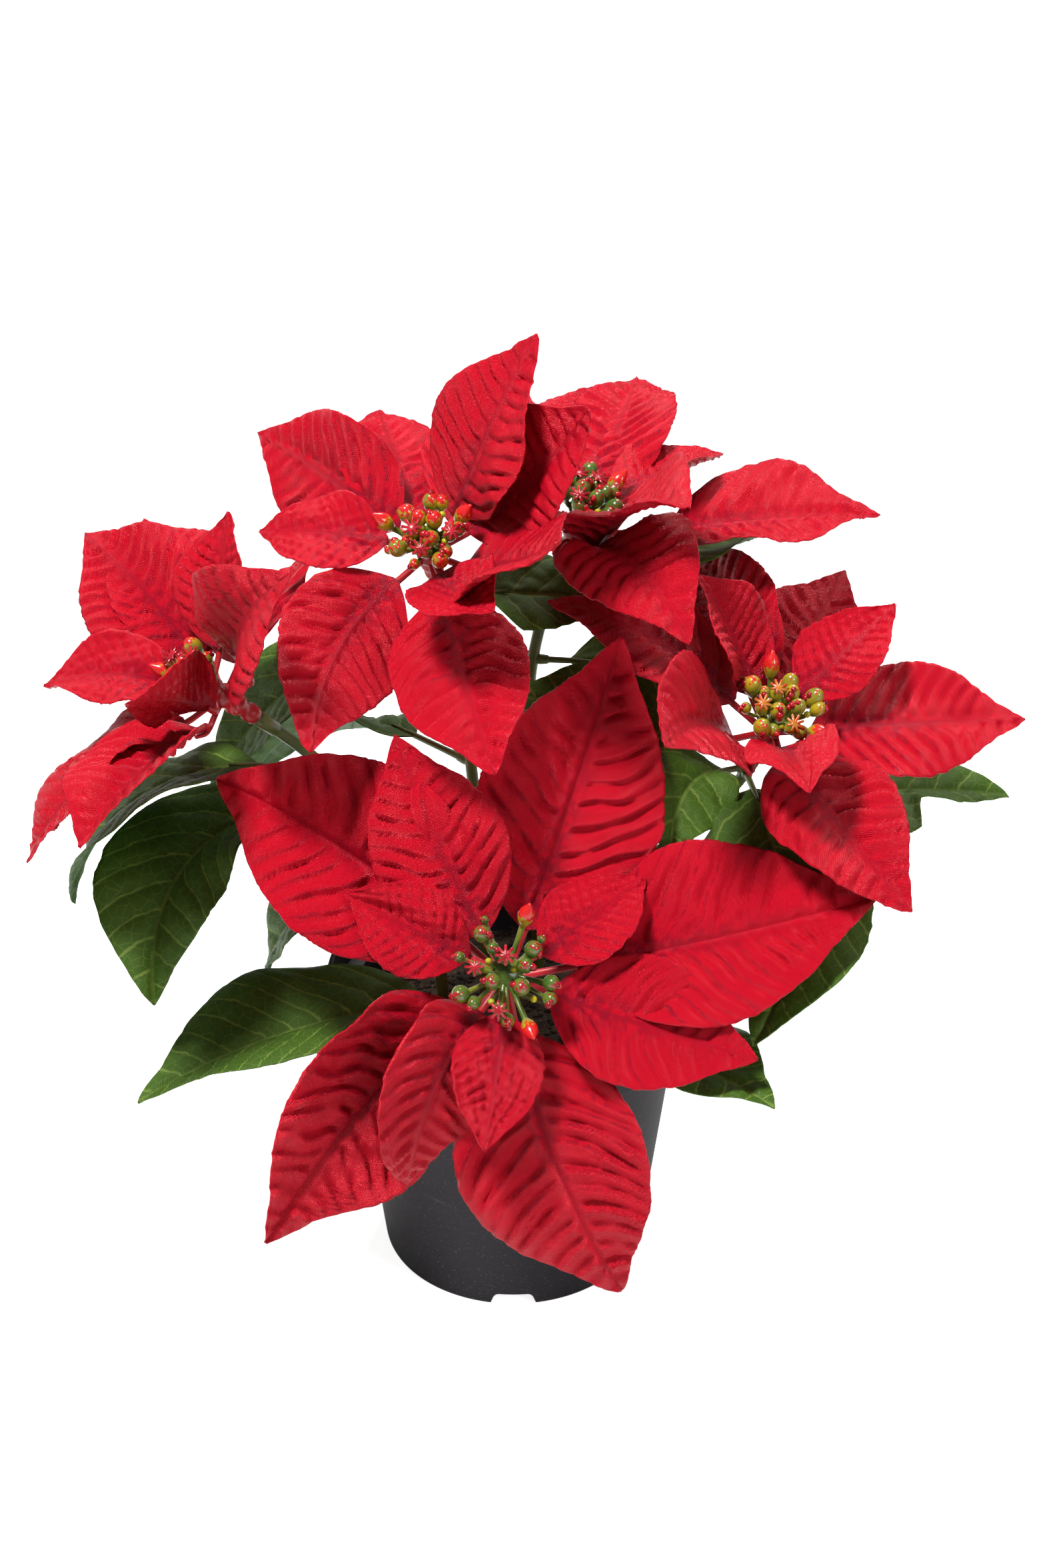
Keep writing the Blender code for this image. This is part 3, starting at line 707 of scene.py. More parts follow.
def leaf_cloth():
    """Dark green cloth printed with yellow-green veins, and paler below."""
    surface, tree, shader = new_surface("green leaf cloth")
    place = map_of(tree, "weave")
    marks = map_of(tree, "veins")
    tint, under, _ = facts_of(tree)
    twill = use_group(TWILL, Place=place, Threads=120.0)
    lines = use_group(VEINS, Place=place, Veins=marks, Net_cells=30.0, Line=0.075)
    veins = larger(times(lines["Rib"], 0.9), lines["Side veins"])
    veins = larger(veins, times(lines["Net"], 0.45))
    worn = spread(clouds(place, 25.0, 2.0), 0.3, 0.6, 0.5, 0.95)
    pale = blend(times(lines["Net"], 0.3), (0.075, 0.150, 0.045), (0.11, 0.20, 0.07))
    colour = layered(
        (0.032, 0.078, 0.005),
        (tint, (0.056, 0.122, 0.008)),
        (clouds(place, 12.0, 4.0), (0.050, 0.100, 0.010)),
        (times(veins, worn), (0.17, 0.25, 0.045)),
        (under, pale),
        (times(twill["Shade"], 0.35), (0.020, 0.048, 0.006)),
    )
    height = scaled(lines["Net"], -1.2, twill["Height"])
    feed(shader, Base_Color=colour, Roughness=scaled(twill["Shade"], 0.15, 0.45),
         Normal=bump(height, 0.35, 0.00014), Specular_IOR_Level=0.35, Specular_Tint=(0.75, 1.0, 0.55))
    return surface


def moulded(name, colour, other, roughness, patches=60.0, glow=0.0):
    """Moulded plastic of uneven tone."""
    surface, tree, shader = new_surface(name)
    marks = use_group(DUST, Place=places_of(tree), Patches=patches)
    tone = spread(marks["Tone"], 0.35, 0.65)
    feed(shader, Base_Color=blend(tone, colour, other),
         Roughness=scaled(marks["Tone"], 0.2, roughness - 0.1),
         Normal=bump(marks["Grain"], 0.12, 0.0001), Subsurface_Weight=glow,
         Subsurface_Radius=(0.004, 0.002, 0.001), Subsurface_Scale=0.5)
    return surface


def pot_plastic():
    """Matte black plastic with a faint grey bloom, specks of dust and rubbed marks."""
    surface, tree, shader = new_surface("black pot plastic")
    place = places_of(tree)
    marks = use_group(DUST, Place=place, Patches=26.0, Grains=1400.0)
    squeezed = add_node(tree, "ShaderNodeMapping", {"Vector": place, "Scale": (1.0, 1.0, 9.0)})
    rubbed = spread(clouds(squeezed.outputs[0], 55.0, 5.0, 0.7), 0.62, 0.74)
    colour = layered(
        (0.011, 0.009, 0.012),
        (spread(marks["Tone"], 0.35, 0.7), (0.018, 0.015, 0.019)),
        (times(marks["Specks"], 0.5), (0.10, 0.09, 0.10)),
        (times(rubbed, 0.35), (0.07, 0.065, 0.07)),
    )
    rough = scaled(marks["Tone"], 0.25, 0.40)
    feed(shader, Base_Color=colour, Roughness=scaled(rubbed, -0.1, rough),
         Normal=bump(marks["Grain"], 0.25, 0.00015), Specular_IOR_Level=0.18, Sheen_Weight=0.03,
         Sheen_Roughness=0.4)
    return surface


def potting_fill():
    """Dark crumbly fill with paler bits."""
    surface, tree, shader = new_surface("potting fill")
    place = places_of(tree)
    marks = use_group(DUST, Place=place, Patches=180.0, Grains=700.0)
    colour = layered(
        (0.014, 0.009, 0.006),
        (spread(marks["Tone"], 0.35, 0.65), (0.038, 0.025, 0.016)),
        (times(marks["Specks"], 0.6), (0.13, 0.10, 0.07)),
    )
    feed(shader, Base_Color=colour, Roughness=scaled(marks["Tone"], 0.1, 0.85),
         Normal=bump(marks["Grain"], 0.6, 0.0008), Specular_IOR_Level=0.15)
    return surface


def dipped(name, low, high, splashed, level_of_dip):
    """Glossy moulded plastic of two tones, its tip dipped in a third colour that has run unevenly."""
    surface, tree, shader = new_surface(name)
    level = add_node(tree, "ShaderNodeAttribute", attribute_name="level").outputs["Fac"]
    marks = use_group(DUST, Place=places_of(tree), Patches=120.0)
    height = plus(level, scaled(marks["Tone"], 0.7, -0.35))
    edge = plus(height, scaled(marks["Grain"], 0.8, -0.4))
    run = spread(edge, level_of_dip, level_of_dip + 0.12)
    colour = layered(low, (spread(marks["Tone"], 0.3, 0.7), high), (run, splashed))
    feed(shader, Base_Color=colour, Roughness=scaled(marks["Tone"], 0.15, 0.16),
         Normal=bump(marks["Tone"], 0.2, 0.0004), Coat_Weight=0.5, Coat_Roughness=0.08,
         Subsurface_Weight=0.12, Subsurface_Radius=(0.002, 0.002, 0.0008), Subsurface_Scale=0.5)
    return surface


BRACT_CLOTH = bract_cloth()
LEAF_CLOTH = leaf_cloth()
POT_PLASTIC = pot_plastic()
FILL = potting_fill()
RED_PLASTIC = moulded("red arm plastic", (0.30, 0.006, 0.010), (0.44, 0.012, 0.018), 0.36, 60.0, 0.1)
GREEN_PLASTIC = moulded("green stem plastic", (0.050, 0.085, 0.016), (0.120, 0.130, 0.028), 0.42)
STALK_PLASTIC = moulded("stalk plastic", (0.07, 0.12, 0.014), (0.20, 0.21, 0.022), 0.3, 90.0, 0.1)
BEAD_PLASTIC = moulded("dark red bead plastic", (0.2, 0.003, 0.008), (0.42, 0.008, 0.014), 0.16, 200.0, 0.2)
DROP_PLASTIC = moulded("yellow bead plastic", (0.50, 0.38, 0.012), (0.32, 0.34, 0.020), 0.2, 200.0, 0.2)
RED_STARS = moulded("red star plastic", (0.26, 0.005, 0.012), (0.40, 0.010, 0.020), 0.24, 300.0, 0.15)
ORANGE_STARS = moulded("orange star plastic", (0.42, 0.035, 0.008), (0.40, 0.14, 0.012), 0.24, 300.0, 0.15)

# Cups and buds: base tones, and the colour and height of the dip
OLIVE = (0.110, 0.160, 0.018)
YELLOW = (0.420, 0.300, 0.012)
BRIGHT_RED = (0.52, 0.012, 0.012)
GREEN_CUPS = dipped("green cup plastic", (0.040, 0.100, 0.012), OLIVE, (0.30, 0.006, 0.012), 0.93)
YELLOW_CUPS = dipped("yellow cup plastic", OLIVE, YELLOW, BRIGHT_RED, 0.82)
OLIVE_CUPS = dipped("olive cup plastic", OLIVE, YELLOW, BRIGHT_RED, 0.95)
BUD_TONES = ((0.42, 0.26, 0.010), (0.24, 0.24, 0.018))
BUD_PLASTIC = dipped("yellow bud plastic", *BUD_TONES, (0.55, 0.010, 0.010), 0.42)
CENTRE_FINISHES = {
    "front": (GREEN_CUPS, RED_STARS),
    "back_left": (YELLOW_CUPS, RED_STARS),
    "left": (YELLOW_CUPS, RED_STARS),
    "right": (OLIVE_CUPS, ORANGE_STARS),
    "back_right": (GREEN_CUPS, RED_STARS),
}


def link_new(name, data):
    made = bpy.data.objects.new(name, data)
    bpy.context.scene.collection.objects.link(made)
    return made


def grow(source, tree, name, **given):
    """Run a tree on an object, and keep what it makes as a plain mesh in place of the object."""
    modifier = source.modifiers.new("grow", "NODES")
    modifier.node_group = tree
    for item in tree.interface.items_tree:
        if item.item_type == "SOCKET" and item.in_out == "INPUT" and item.name in given:
            modifier[item.identifier] = given[item.name]
    shown = source.evaluated_get(bpy.context.evaluated_depsgraph_get())
    mesh = bpy.data.meshes.new_from_object(shown)
    mesh.name = name
    source.modifiers.remove(modifier)
    made = link_new(name, mesh)
    bpy.data.objects.remove(source, do_unlink=True)
    return made


def geometry_tree(name, *sockets):
    """A geometry tree with the given inputs and a finish, and the outputs of its first node."""
    tree = bpy.data.node_groups.new(name, "GeometryNodeTree")
    tree.interface.new_socket("Geometry", in_out="INPUT", socket_type="NodeSocketGeometry")
    for title, kind, value in (*sockets, ("Finish", "Material", None)):
        socket = tree.interface.new_socket(title, in_out="INPUT", socket_type="NodeSocket" + kind)
        if value is not None:
            socket.default_value = value
    tree.interface.new_socket("Geometry", in_out="OUTPUT", socket_type="NodeSocketGeometry")
    return tree, add_node(tree, "NodeGroupInput").outputs


def end_tree(tree, given, geometry):
    """The last nodes of every tree: real geometry, smooth, in its finish."""
    real = add_node(tree, "GeometryNodeRealizeInstances", {0: geometry}).outputs[0]
    smooth = add_node(tree, "GeometryNodeSetShadeSmooth", {"Geometry": real}).outputs[0]
    inputs = {"Geometry": smooth, "Material": given["Finish"]}
    painted = add_node(tree, "GeometryNodeSetMaterial", inputs).outputs[0]
    add_node(tree, "NodeGroupOutput", {"Geometry": painted})
    return tree


def sleeve_tree():
    """A rod along each path, as thick as the path says there, wider than it is deep if asked."""
    tree, given = geometry_tree("Sleeve along a path", ("Sides", "Int", 16), ("Depth", "Float", 1.0))
    inputs = {"Resolution": given["Sides"], "Radius": 1.0}
    ring = add_node(tree, "GeometryNodeCurvePrimitiveCircle", inputs)
    flat = add_node(tree, "ShaderNodeCombineXYZ", {0: 1.0, 1: given["Depth"], 2: 1.0})
    inputs = {"Geometry": ring.outputs[0], "Scale": flat.outputs[0]}
    squash = add_node(tree, "GeometryNodeTransform", inputs)
    radius = add_node(tree, "GeometryNodeInputRadius")
    body = add_node(tree, "GeometryNodeCurveToMesh", {
        "Curve": given["Geometry"],
        "Profile Curve": squash.outputs[0],
        "Scale": radius.outputs[0],
        "Fill Caps": True,
    })
    return end_tree(tree, given, body.outputs[0])


def parts_on(tree, points, part, rotation, scale):
    """A part on each of the points, as instances."""
    shape = add_node(tree, "GeometryNodeObjectInfo", {"Object": part}).outputs["Geometry"]
    inputs = {"Points": points, "Instance": shape, "Rotation": rotation, "Scale": scale}
    return add_node(tree, "GeometryNodeInstanceOnPoints", inputs).outputs[0]


def crowd_tree():
    """One small part on every point, turned along the point's lean and sized as it says."""
    tree, given = geometry_tree("Parts on points", ("Part", "Object", None))
    named = "GeometryNodeInputNamedAttribute"
    lean = add_node(tree, named, {"Name": "lean"}, data_type="FLOAT_VECTOR")
    size = add_node(tree, named, {"Name": "size"}, data_type="FLOAT")
    turned = add_node(tree, "FunctionNodeAlignRotationToVector", {"Vector": lean.outputs[0]}, axis="Z")
    crowd = parts_on(tree, given["Geometry"], given["Part"], turned.outputs[0], size.outputs[0])
    return end_tree(tree, given, crowd)


def granule_tree():
    """Grains of fill scattered on the surface, each of its own size and turn."""
    tree, given = geometry_tree(
        "Grains on the fill",
        ("Grain", "Object", None), ("Density", "Float", 150000.0), ("Seed", "Int", GRAIN_SEED),
        ("Smallest", "Float", 0.5), ("Largest", "Float", 1.4),
    )
    inputs = {"Mesh": given["Geometry"], "Density": given["Density"], "Seed": given["Seed"]}
    scatter = add_node(tree, "GeometryNodeDistributePointsOnFaces", inputs).outputs
    inputs = {2: given["Smallest"], 3: given["Largest"], "Seed": given["Seed"]}
    size = add_node(tree, "FunctionNodeRandomValue", inputs, data_type="FLOAT")
    grains = parts_on(tree, scatter["Points"], given["Grain"], scatter["Rotation"], size.outputs[1])
    together = add_node(tree, "GeometryNodeJoinGeometry", {0: given["Geometry"]})
    value_of(together.inputs[0], grains)
    return end_tree(tree, given, together.outputs[0])


SLEEVE = sleeve_tree()
CROWD = crowd_tree()
GRANULES = granule_tree()


def paths_object(name, paths):
    """A curve object with one path for each list of (place, radius) in millimetres."""
    curve = bpy.data.curves.new(name, "CURVE")
    curve.dimensions = "3D"
    curve.twist_mode = "Z_UP"
    for path in paths:
        line = curve.splines.new("POLY")
        line.points.add(len(path) - 1)
        for point, (place, radius) in zip(line.points, path):
            point.co = (*(np.asarray(place) * MM), 1.0)
            point.radius = radius * MM
    return link_new(name, curve)


def smooth_path(places, radii, steps):
    """Points of a smooth curve through the given places, and the radius at each."""
    places = np.array(places, dtype=float)
    ends = np.vstack((2.0 * places[0] - places[1], places, 2.0 * places[-1] - places[-2]))
    path = []
    for index in range(len(places) - 1):
        before, start, end, after = ends[index:index + 4]
        for step in range(steps):
            t = step / steps
            square = (2.0 * before - 5.0 * start + 4.0 * end - after) * t * t
            cube = (3.0 * start - before - 3.0 * end + after) * t ** 3
            place = 0.5 * (2.0 * start + (end - before) * t + square + cube)
            path.append((place, radii[index] + (radii[index + 1] - radii[index]) * t))
    path.append((places[-1], radii[-1]))
    return path


def points_object(name, places, leans, sizes):
    """Loose points that carry a lean and a size."""
    mesh = bpy.data.meshes.new(name)
    mesh.from_pydata([tuple(np.asarray(place) * MM) for place in places], [], [])
    lean = mesh.attributes.new("lean", "FLOAT_VECTOR", "POINT")
    lean.data.foreach_set("vector", np.array(leans, dtype=float).ravel())
    size = mesh.attributes.new("size", "FLOAT", "POINT")
    size.data.foreach_set("value", np.array(sizes, dtype=float))
    return link_new(name, mesh)


def mesh_of(name, made):
    """A mesh of what bmesh holds, with its normals outward."""
    bmesh.ops.recalc_face_normals(made, faces=made.faces)
    mesh = bpy.data.meshes.new(name)
    made.to_mesh(mesh)
    made.free()
    return mesh


def turned_mesh(name, profile, sides, level=False):
    """A closed mesh turned about Z from (radius, height) pairs, whose ends lie on the axis.

    With level, each point also keeps its height as a share of the top's.
    """
    made = bmesh.new()
    rings = []
    for radius, height in profile:
        if radius == 0.0:
            rings.append([made.verts.new((0.0, 0.0, height * MM))])
            continue
        ring = []
        for side in range(sides):
            angle = 2.0 * math.pi * side / sides
            x, y = radius * math.cos(angle), radius * math.sin(angle)
            ring.append(made.verts.new((x * MM, y * MM, height * MM)))
        rings.append(ring)
    for lower, upper in zip(rings, rings[1:]):
        for side in range(sides):
            after = (side + 1) % sides
            if len(lower) == 1:
                made.faces.new((lower[0], upper[after], upper[side]))
            elif len(upper) == 1:
                made.faces.new((lower[side], lower[after], upper[0]))
            else:
                made.faces.new((lower[side], lower[after], upper[after], upper[side]))
    mesh = mesh_of(name, made)
    if level:
        top = max(vertex.co.z for vertex in mesh.vertices)
        layer = mesh.attributes.new("level", "FLOAT", "POINT")
        for vertex, value in zip(mesh.vertices, layer.data):
            value.value = max(vertex.co.z, 0.0) / top
    return mesh


def star_mesh(name, petals=8, radius=3.0, waist=0.9, thick=0.3, lift=0.8):
    """A small flat flower that opens upwards, like the red stigmas on the cups."""
    made = bmesh.new()
    top = made.verts.new((0.0, 0.0, 0.5 * MM))
    base = made.verts.new((0.0, 0.0, -0.8 * MM))
    upper = []
    lower = []
    petal_shape = ((0.0, 1.0), (0.2, 0.88), (0.5, 0.0), (0.8, 0.88))
    turns = [(petal + bend, share) for petal in range(petals) for bend, share in petal_shape]
    for turn, share in turns:
        angle = 2.0 * math.pi * turn / petals
        reach = waist + (radius - waist) * share
        height = lift * share
        rim = thick - 0.15 * share
        place = (reach * MM * math.cos(angle), reach * MM * math.sin(angle))
        upper.append(made.verts.new((*place, (height + rim) * MM)))
        lower.append(made.verts.new((*place, (height - rim) * MM)))
    for step in range(len(turns)):
        after = (step + 1) % len(turns)
        made.faces.new((top, upper[step], upper[after]))
        made.faces.new((base, lower[after], lower[step]))
        made.faces.new((upper[step], lower[step], lower[after], upper[after]))
    return mesh_of(name, made)


def reshape(mesh, change):
    """Put a mesh's points where the given function moves them."""
    points = np.empty(len(mesh.vertices) * 3)
    mesh.vertices.foreach_get("co", points)
    mesh.vertices.foreach_set("co", change(points.reshape(-1, 3)).ravel())
    mesh.update()


def place_on_flower(made, name):
    """Move a piece from the flower's own axes to where the flower is."""
    hub, facing = FLOWERS[name]
    axes = np.stack(axes_facing(*facing))
    reshape(made.data, lambda points: points @ axes + np.array(hub) * MM)


def draws_for(name, seed):
    return np.random.default_rng(list(FLOWERS).index(name) + seed)


def painted(name, mesh, surface):
    """An object of a mesh, smooth and in its finish."""
    mesh.materials.append(surface)
    mesh.shade_smooth()
    return link_new(name, mesh)


def joined(name, pieces):
    """One object of several, at the origin."""
    made = pieces[0]
    with bpy.context.temp_override(active_object=made, selected_editable_objects=pieces):
        bpy.ops.object.join()
    made.name = name
    made.data.name = name
    return made


def hand_over(piece, slot_name, *nodes):
    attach(piece, "root")
    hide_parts(*nodes)


def make_bracts(name):
    """The cloth of a flower's bracts, each from the end of its arm."""
    hub, facing = FLOWERS[name]
    axes = axes_facing(*facing)
    top = np.array(hub, dtype=float)
    skin = empty_skin()
    draw = draws_for(name, BRACT_SEED)
    for blade in BRACTS[name]:
        start = top + axes[2] * KINDS[blade[0]][3]
        add_blade(skin, arm_end(start, axes, blade), axes, blade, draw)
    cloth = skin_object("bract_cloth_" + name, skin, BRACT_CLOTH)
    hand_over(cloth, "bract_fabric", "bracts_" + name)


# Collar under a flower: (radius, height) up its side
COLLAR_PROFILE = (
    (0.0, -24.0), (2.7, -24.0), (3.0, -23.6), (3.1, -21.0), (2.6, -20.4), (2.6, -16.8), (3.5, -16.0),
    (3.7, -13.6), (3.0, -12.8), (3.0, -10.6), (3.8, -9.8), (3.9, -7.6), (3.1, -6.8), (3.1, -4.6),
    (3.9, -3.8), (4.1, -1.6), (3.9, -0.4), (3.4, 0.0), (0.0, 0.0),
)
ARM_GRIP = 5.0
ARM_SINK = 1.1


def make_arms(name):
    """The flower's moulded collar, with a flat arm that grips each bract from below."""
    under = UP * -ARM_SINK
    paths = []
    for blade in BRACTS[name]:
        start = UP * KINDS[blade[0]][3]
        root = arm_end(start, LEVEL_AXES, blade)
        along, _ = direction_at(LEVEL_AXES, blade[1], blade[2])
        grip = root + along[0] * ARM_GRIP
        places = (start, (start + root) / 2.0 + under * 0.5, root + under, grip + under)
        paths.append(smooth_path(places, (1.3, 1.15, 1.2, 0.9), 4))
    source = paths_object("arms", paths)
    arms = grow(source, SLEEVE, "arms", Sides=12, Depth=0.72, Finish=RED_PLASTIC)
    collar = painted("collar", turned_mesh("collar", COLLAR_PROFILE, 24), RED_PLASTIC)
    made = joined("bract_arms_" + name, [collar, arms])
    place_on_flower(made, name)
    hand_over(made, "centre_plastic", "bracts_" + name)


def stem_path(name):
    """Places up a stem: in its hole, along a curve, and in the flower's collar."""
    (x, y), foot_pull, hub_pull = STEMS[name]
    hub, facing = FLOWERS[name]
    hub = np.array(hub, dtype=float)
    outward = axes_facing(*facing)[2]
    foot = np.array((x, y, FILL_Z + 2.0))
    end = hub - outward * (COLLAR_LENGTH + 1.5)
    second = foot + UP * foot_pull
    third = end - outward * hub_pull
    path = [np.array((x, y, HOLE_BOTTOM_Z + SEAT_GAP))]
    for step in range(STEM_STEPS + 1):
        t = step / STEM_STEPS
        u = 1.0 - t
        path.append(foot * u ** 3 + second * 3 * u * u * t + third * 3 * u * t * t + end * t ** 3)
    path.append(hub - outward * (COLLAR_LENGTH - SOCKET_DEPTH + SEAT_GAP))
    return path


def place_along(path, share):
    """The place on a path after a share of its steps."""
    position = share * (len(path) - 1)
    index = min(int(position), len(path) - 2)
    return path[index] + (path[index + 1] - path[index]) * (position - index)


# Sleeves on a stem: (distance back from the flower, radius) of the ferrule under it, and
# (distance from the stem, radius) of the collar round a leaf's stalk
FERRULE = ((9.0, 1.9), (8.6, 2.3), (1.2, 2.5), (0.6, 2.3), (0.0, 1.9))
STALK_COLLAR = ((-0.4, 1.5), (2.4, 1.7), (4.6, 1.5), (5.2, 1.1))
STALK_GRIP = 9.0


def make_stem(name):
    """The wired stem in its sleeve, a ferrule under the flower, a stalk to each leaf, and the leaves."""
    path = stem_path(name)
    stem = smooth_path(path, [STEM_RADIUS] * len(path), 3)
    end = path[-2]
    before = unit(end - path[-3])
    paths = [stem, [(end - before * back, radius) for back, radius in FERRULE]]
    skin = empty_skin()
    draw = draws_for(name, LEAF_SEED)
    for entry in LEAVES[name]:
        leaf = (entry[0],) + entry[2:8]
        start = place_along(path, entry[1])
        root = arm_end(start, LEVEL_AXES, leaf)
        along = unit(root - start)
        places = (start, start + (root - start) * 0.5, root, root + along * STALK_GRIP)
        paths.append(smooth_path(places, (1.3, 1.05, 1.0, 0.5), 5))
        paths.append([(start + along * out, radius) for out, radius in STALK_COLLAR])
        add_blade(skin, root, LEVEL_AXES, leaf, draw, toothed=len(entry) > 8)
    source = paths_object("rods", paths)
    rods = grow(source, SLEEVE, "stem_sleeve_" + name, Sides=14, Depth=1.0, Finish=GREEN_PLASTIC)
    hand_over(rods, "centre_plastic", "stem_" + name)
    cloth = skin_object("leaf_cloth_" + name, skin, LEAF_CLOTH)
    hand_over(cloth, "leaf_fabric", "stem_" + name)


# Small parts of a flower's centre: (radius, height) up their sides
CUP_PROFILE = (
    (0.0, -0.6), (1.1, -0.3), (1.45, 0.5), (2.1, 1.8), (2.5, 3.4), (2.45, 4.6), (2.0, 5.8), (1.3, 6.7),
    (0.6, 7.1), (0.0, 7.2),
)
BUD_PROFILE = (
    (0.0, -0.4), (0.9, 0.0), (1.6, 1.2), (2.3, 3.0), (2.6, 4.8), (2.3, 6.4), (1.5, 7.8), (0.9, 8.6),
    (0.5, 9.4), (0.0, 9.8),
)
BEAD_PROFILE = ((0.0, -1.0), (0.75, -0.75), (1.1, -0.1), (1.0, 0.6), (0.55, 1.15), (0.0, 1.35))
DISC_PROFILE = (
    (0.0, 0.3), (DISC_RADIUS, 0.3), (5.2, 0.8), (5.0, 1.6), (3.0, 2.6), (1.4, 3.4), (0.0, 3.7),
)


def templates():
    """The small moulded parts that stand in every flower's centre."""
    made = {
        "cup": turned_mesh("cup", CUP_PROFILE, 18, True),
        "bud": turned_mesh("bud", BUD_PROFILE, 18, True),
        "bead": turned_mesh("bead", BEAD_PROFILE, 12),
        "star": star_mesh("star"),
    }
    return {title: link_new("template_" + title, mesh) for title, mesh in made.items()}


def crowd(part, finish, spots, name):
    """The same small part on each spot, as one mesh."""
    places, leans, sizes = zip(*spots)
    return grow(points_object(name, places, leans, sizes), CROWD, name, Part=part, Finish=finish)


# Which of the cups carry a star or are a long bud
STAR_CUPS = (0, 2, 4)
BUD_CUPS = (8, 9)

# Smaller cups between them (turn, spread, size), and the drops on thin stalks (turn, spread)
SIDE_CUPS = (
    (225.0, 0.78, 0.85), (122.0, 0.9, 0.9), (287.0, 0.85, 0.7), (178.0, 0.86, 0.9), (338.0, 1.0, 0.5),
    (48.0, 0.86, 0.5), (230.0, 0.3, 1.05), (75.0, 0.35, 1.0), (330.0, 0.45, 0.8),
)
DROPS = ((80.0, 0.15), (135.0, 0.7), (205.0, 0.6), (300.0, 0.35))


def cup_stand(angle, share, reach):
    """Places up one stalk of a flower's centre and its lean, in the flower's own axes."""
    flat = np.array((math.sin(angle), math.cos(angle), 0.0))
    seat = UP * SEAT_GAP
    low = seat + UP * 0.8 + flat * share * (DISC_RADIUS - 1.4)
    knee = seat + UP * (6.0 - 1.5 * share) + flat * share * (reach - 2.0)
    lean = unit(UP + flat * 0.35 * share)
    bend = (low + knee) / 2.0 + flat * 0.8 - UP * 0.4
    return (low, bend, knee, knee + lean * 1.2), lean


def bead_clump(knee, lean, size, draw):
    """Two or three beads run together on the upper side of a cup."""
    side = unit(np.cross(lean, draw.normal(0.0, 1.0, 3)))
    places = ((5.4, 1.9, 1.1), (3.8, 2.4, 0.9), (6.8, 0.8, 0.8))
    spots = []
    for height, reach, bead in places[:draw.integers(2, 4)]:
        place = knee + (lean * height + side * reach) * size
        spots.append((place, unit(lean * 0.4 + side), bead * size))
    return spots


def centre_layout(name):
    """Stalks of a flower's centre, and the place, lean and size of each part that they carry."""
    reach = CUP_SPREAD[name]
    draw = draws_for(name, CENTRE_SEED)
    # Each flower's stalks start at another angle, so that no two centres stand alike
    first = FLOWERS[name][1][0]
    kinds = {"cup": [], "bud": [], "bead": [], "drop": [], "star": []}
    stalks = []
    for index in range(CUPS):
        share = math.sqrt((index + 0.5) / CUPS)
        places, lean = cup_stand(index * GOLDEN_ANGLE + first, share, reach)
        knee = places[2]
        stalks.append(smooth_path(places, (0.85, 0.8, 1.0, 1.2), 3))
        if index in BUD_CUPS:
            kinds["bud"].append((knee - lean * 0.4, unit(lean + knee * 0.05), 1.0))
        elif index in STAR_CUPS:
            kinds["cup"].append((knee, lean, 0.85))
            kinds["star"].append((knee + lean * 6.6, lean, draw.uniform(0.95, 1.1)))
        else:
            kinds["cup"].append((knee, lean, draw.uniform(1.0, 1.15)))
            kinds["bead"].extend(bead_clump(knee, lean, 1.0, draw))
    for turn, share, size in SIDE_CUPS:
        places, lean = cup_stand(math.radians(turn) + first, share, reach)
        stalks.append(smooth_path(places, (0.7, 0.6, 0.6, 0.8 * size), 3))
        kinds["cup"].append((places[2], lean, size))
        kinds["bead"].extend(bead_clump(places[2], lean, size, draw))
    for turn, share in DROPS:
        places, lean = cup_stand(math.radians(turn) + first, share, reach)
        stalks.append(smooth_path(places, (0.5, 0.5, 0.5, 0.5), 3))
        kinds["drop"].append((places[3] + lean * 0.8, lean, 1.0))
    return stalks, kinds


def make_centre(name, parts):
    """Cups, buds, beads and stars on their stalks, on a small disc."""
    stalks, kinds = centre_layout(name)
    cup_finish, star_finish = CENTRE_FINISHES[name]
    source = paths_object("stalks", stalks)
    pieces = [
        painted("disc", turned_mesh("disc", DISC_PROFILE, 24), STALK_PLASTIC),
        grow(source, SLEEVE, "stalks", Sides=10, Depth=1.0, Finish=STALK_PLASTIC),
        crowd(parts["cup"], cup_finish, kinds["cup"], "cups"),
        crowd(parts["bud"], BUD_PLASTIC, kinds["bud"], "buds"),
        crowd(parts["bead"], BEAD_PLASTIC, kinds["bead"], "beads"),
        crowd(parts["bead"], DROP_PLASTIC, kinds["drop"], "drops"),
        crowd(parts["star"], star_finish, kinds["star"], "stars"),
    ]
    made = joined("centre_" + name, pieces)
    place_on_flower(made, name)
    hand_over(made, "centre_plastic", "cyathia_" + name)


def rounded(profile, radius, steps=3):
    """Round the inner corners of a profile of (radius, height) pairs."""
    points = [np.array(point) for point in profile]
    result = [points[0]]
    for before, corner, after in zip(points, points[1:], points[2:]):
        start = before - corner
        end = after - corner
        reach = min(radius, np.linalg.norm(start) * 0.4, np.linalg.norm(end) * 0.4)
        first = corner + unit(start) * reach
        last = corner + unit(end) * reach
        for step in range(steps + 1):
            t = step / steps
            result.append(first * (1 - t) ** 2 + corner * 2 * t * (1 - t) + last * t * t)
    result.append(points[-1])
    return [(float(point[0]), float(point[1])) for point in result]


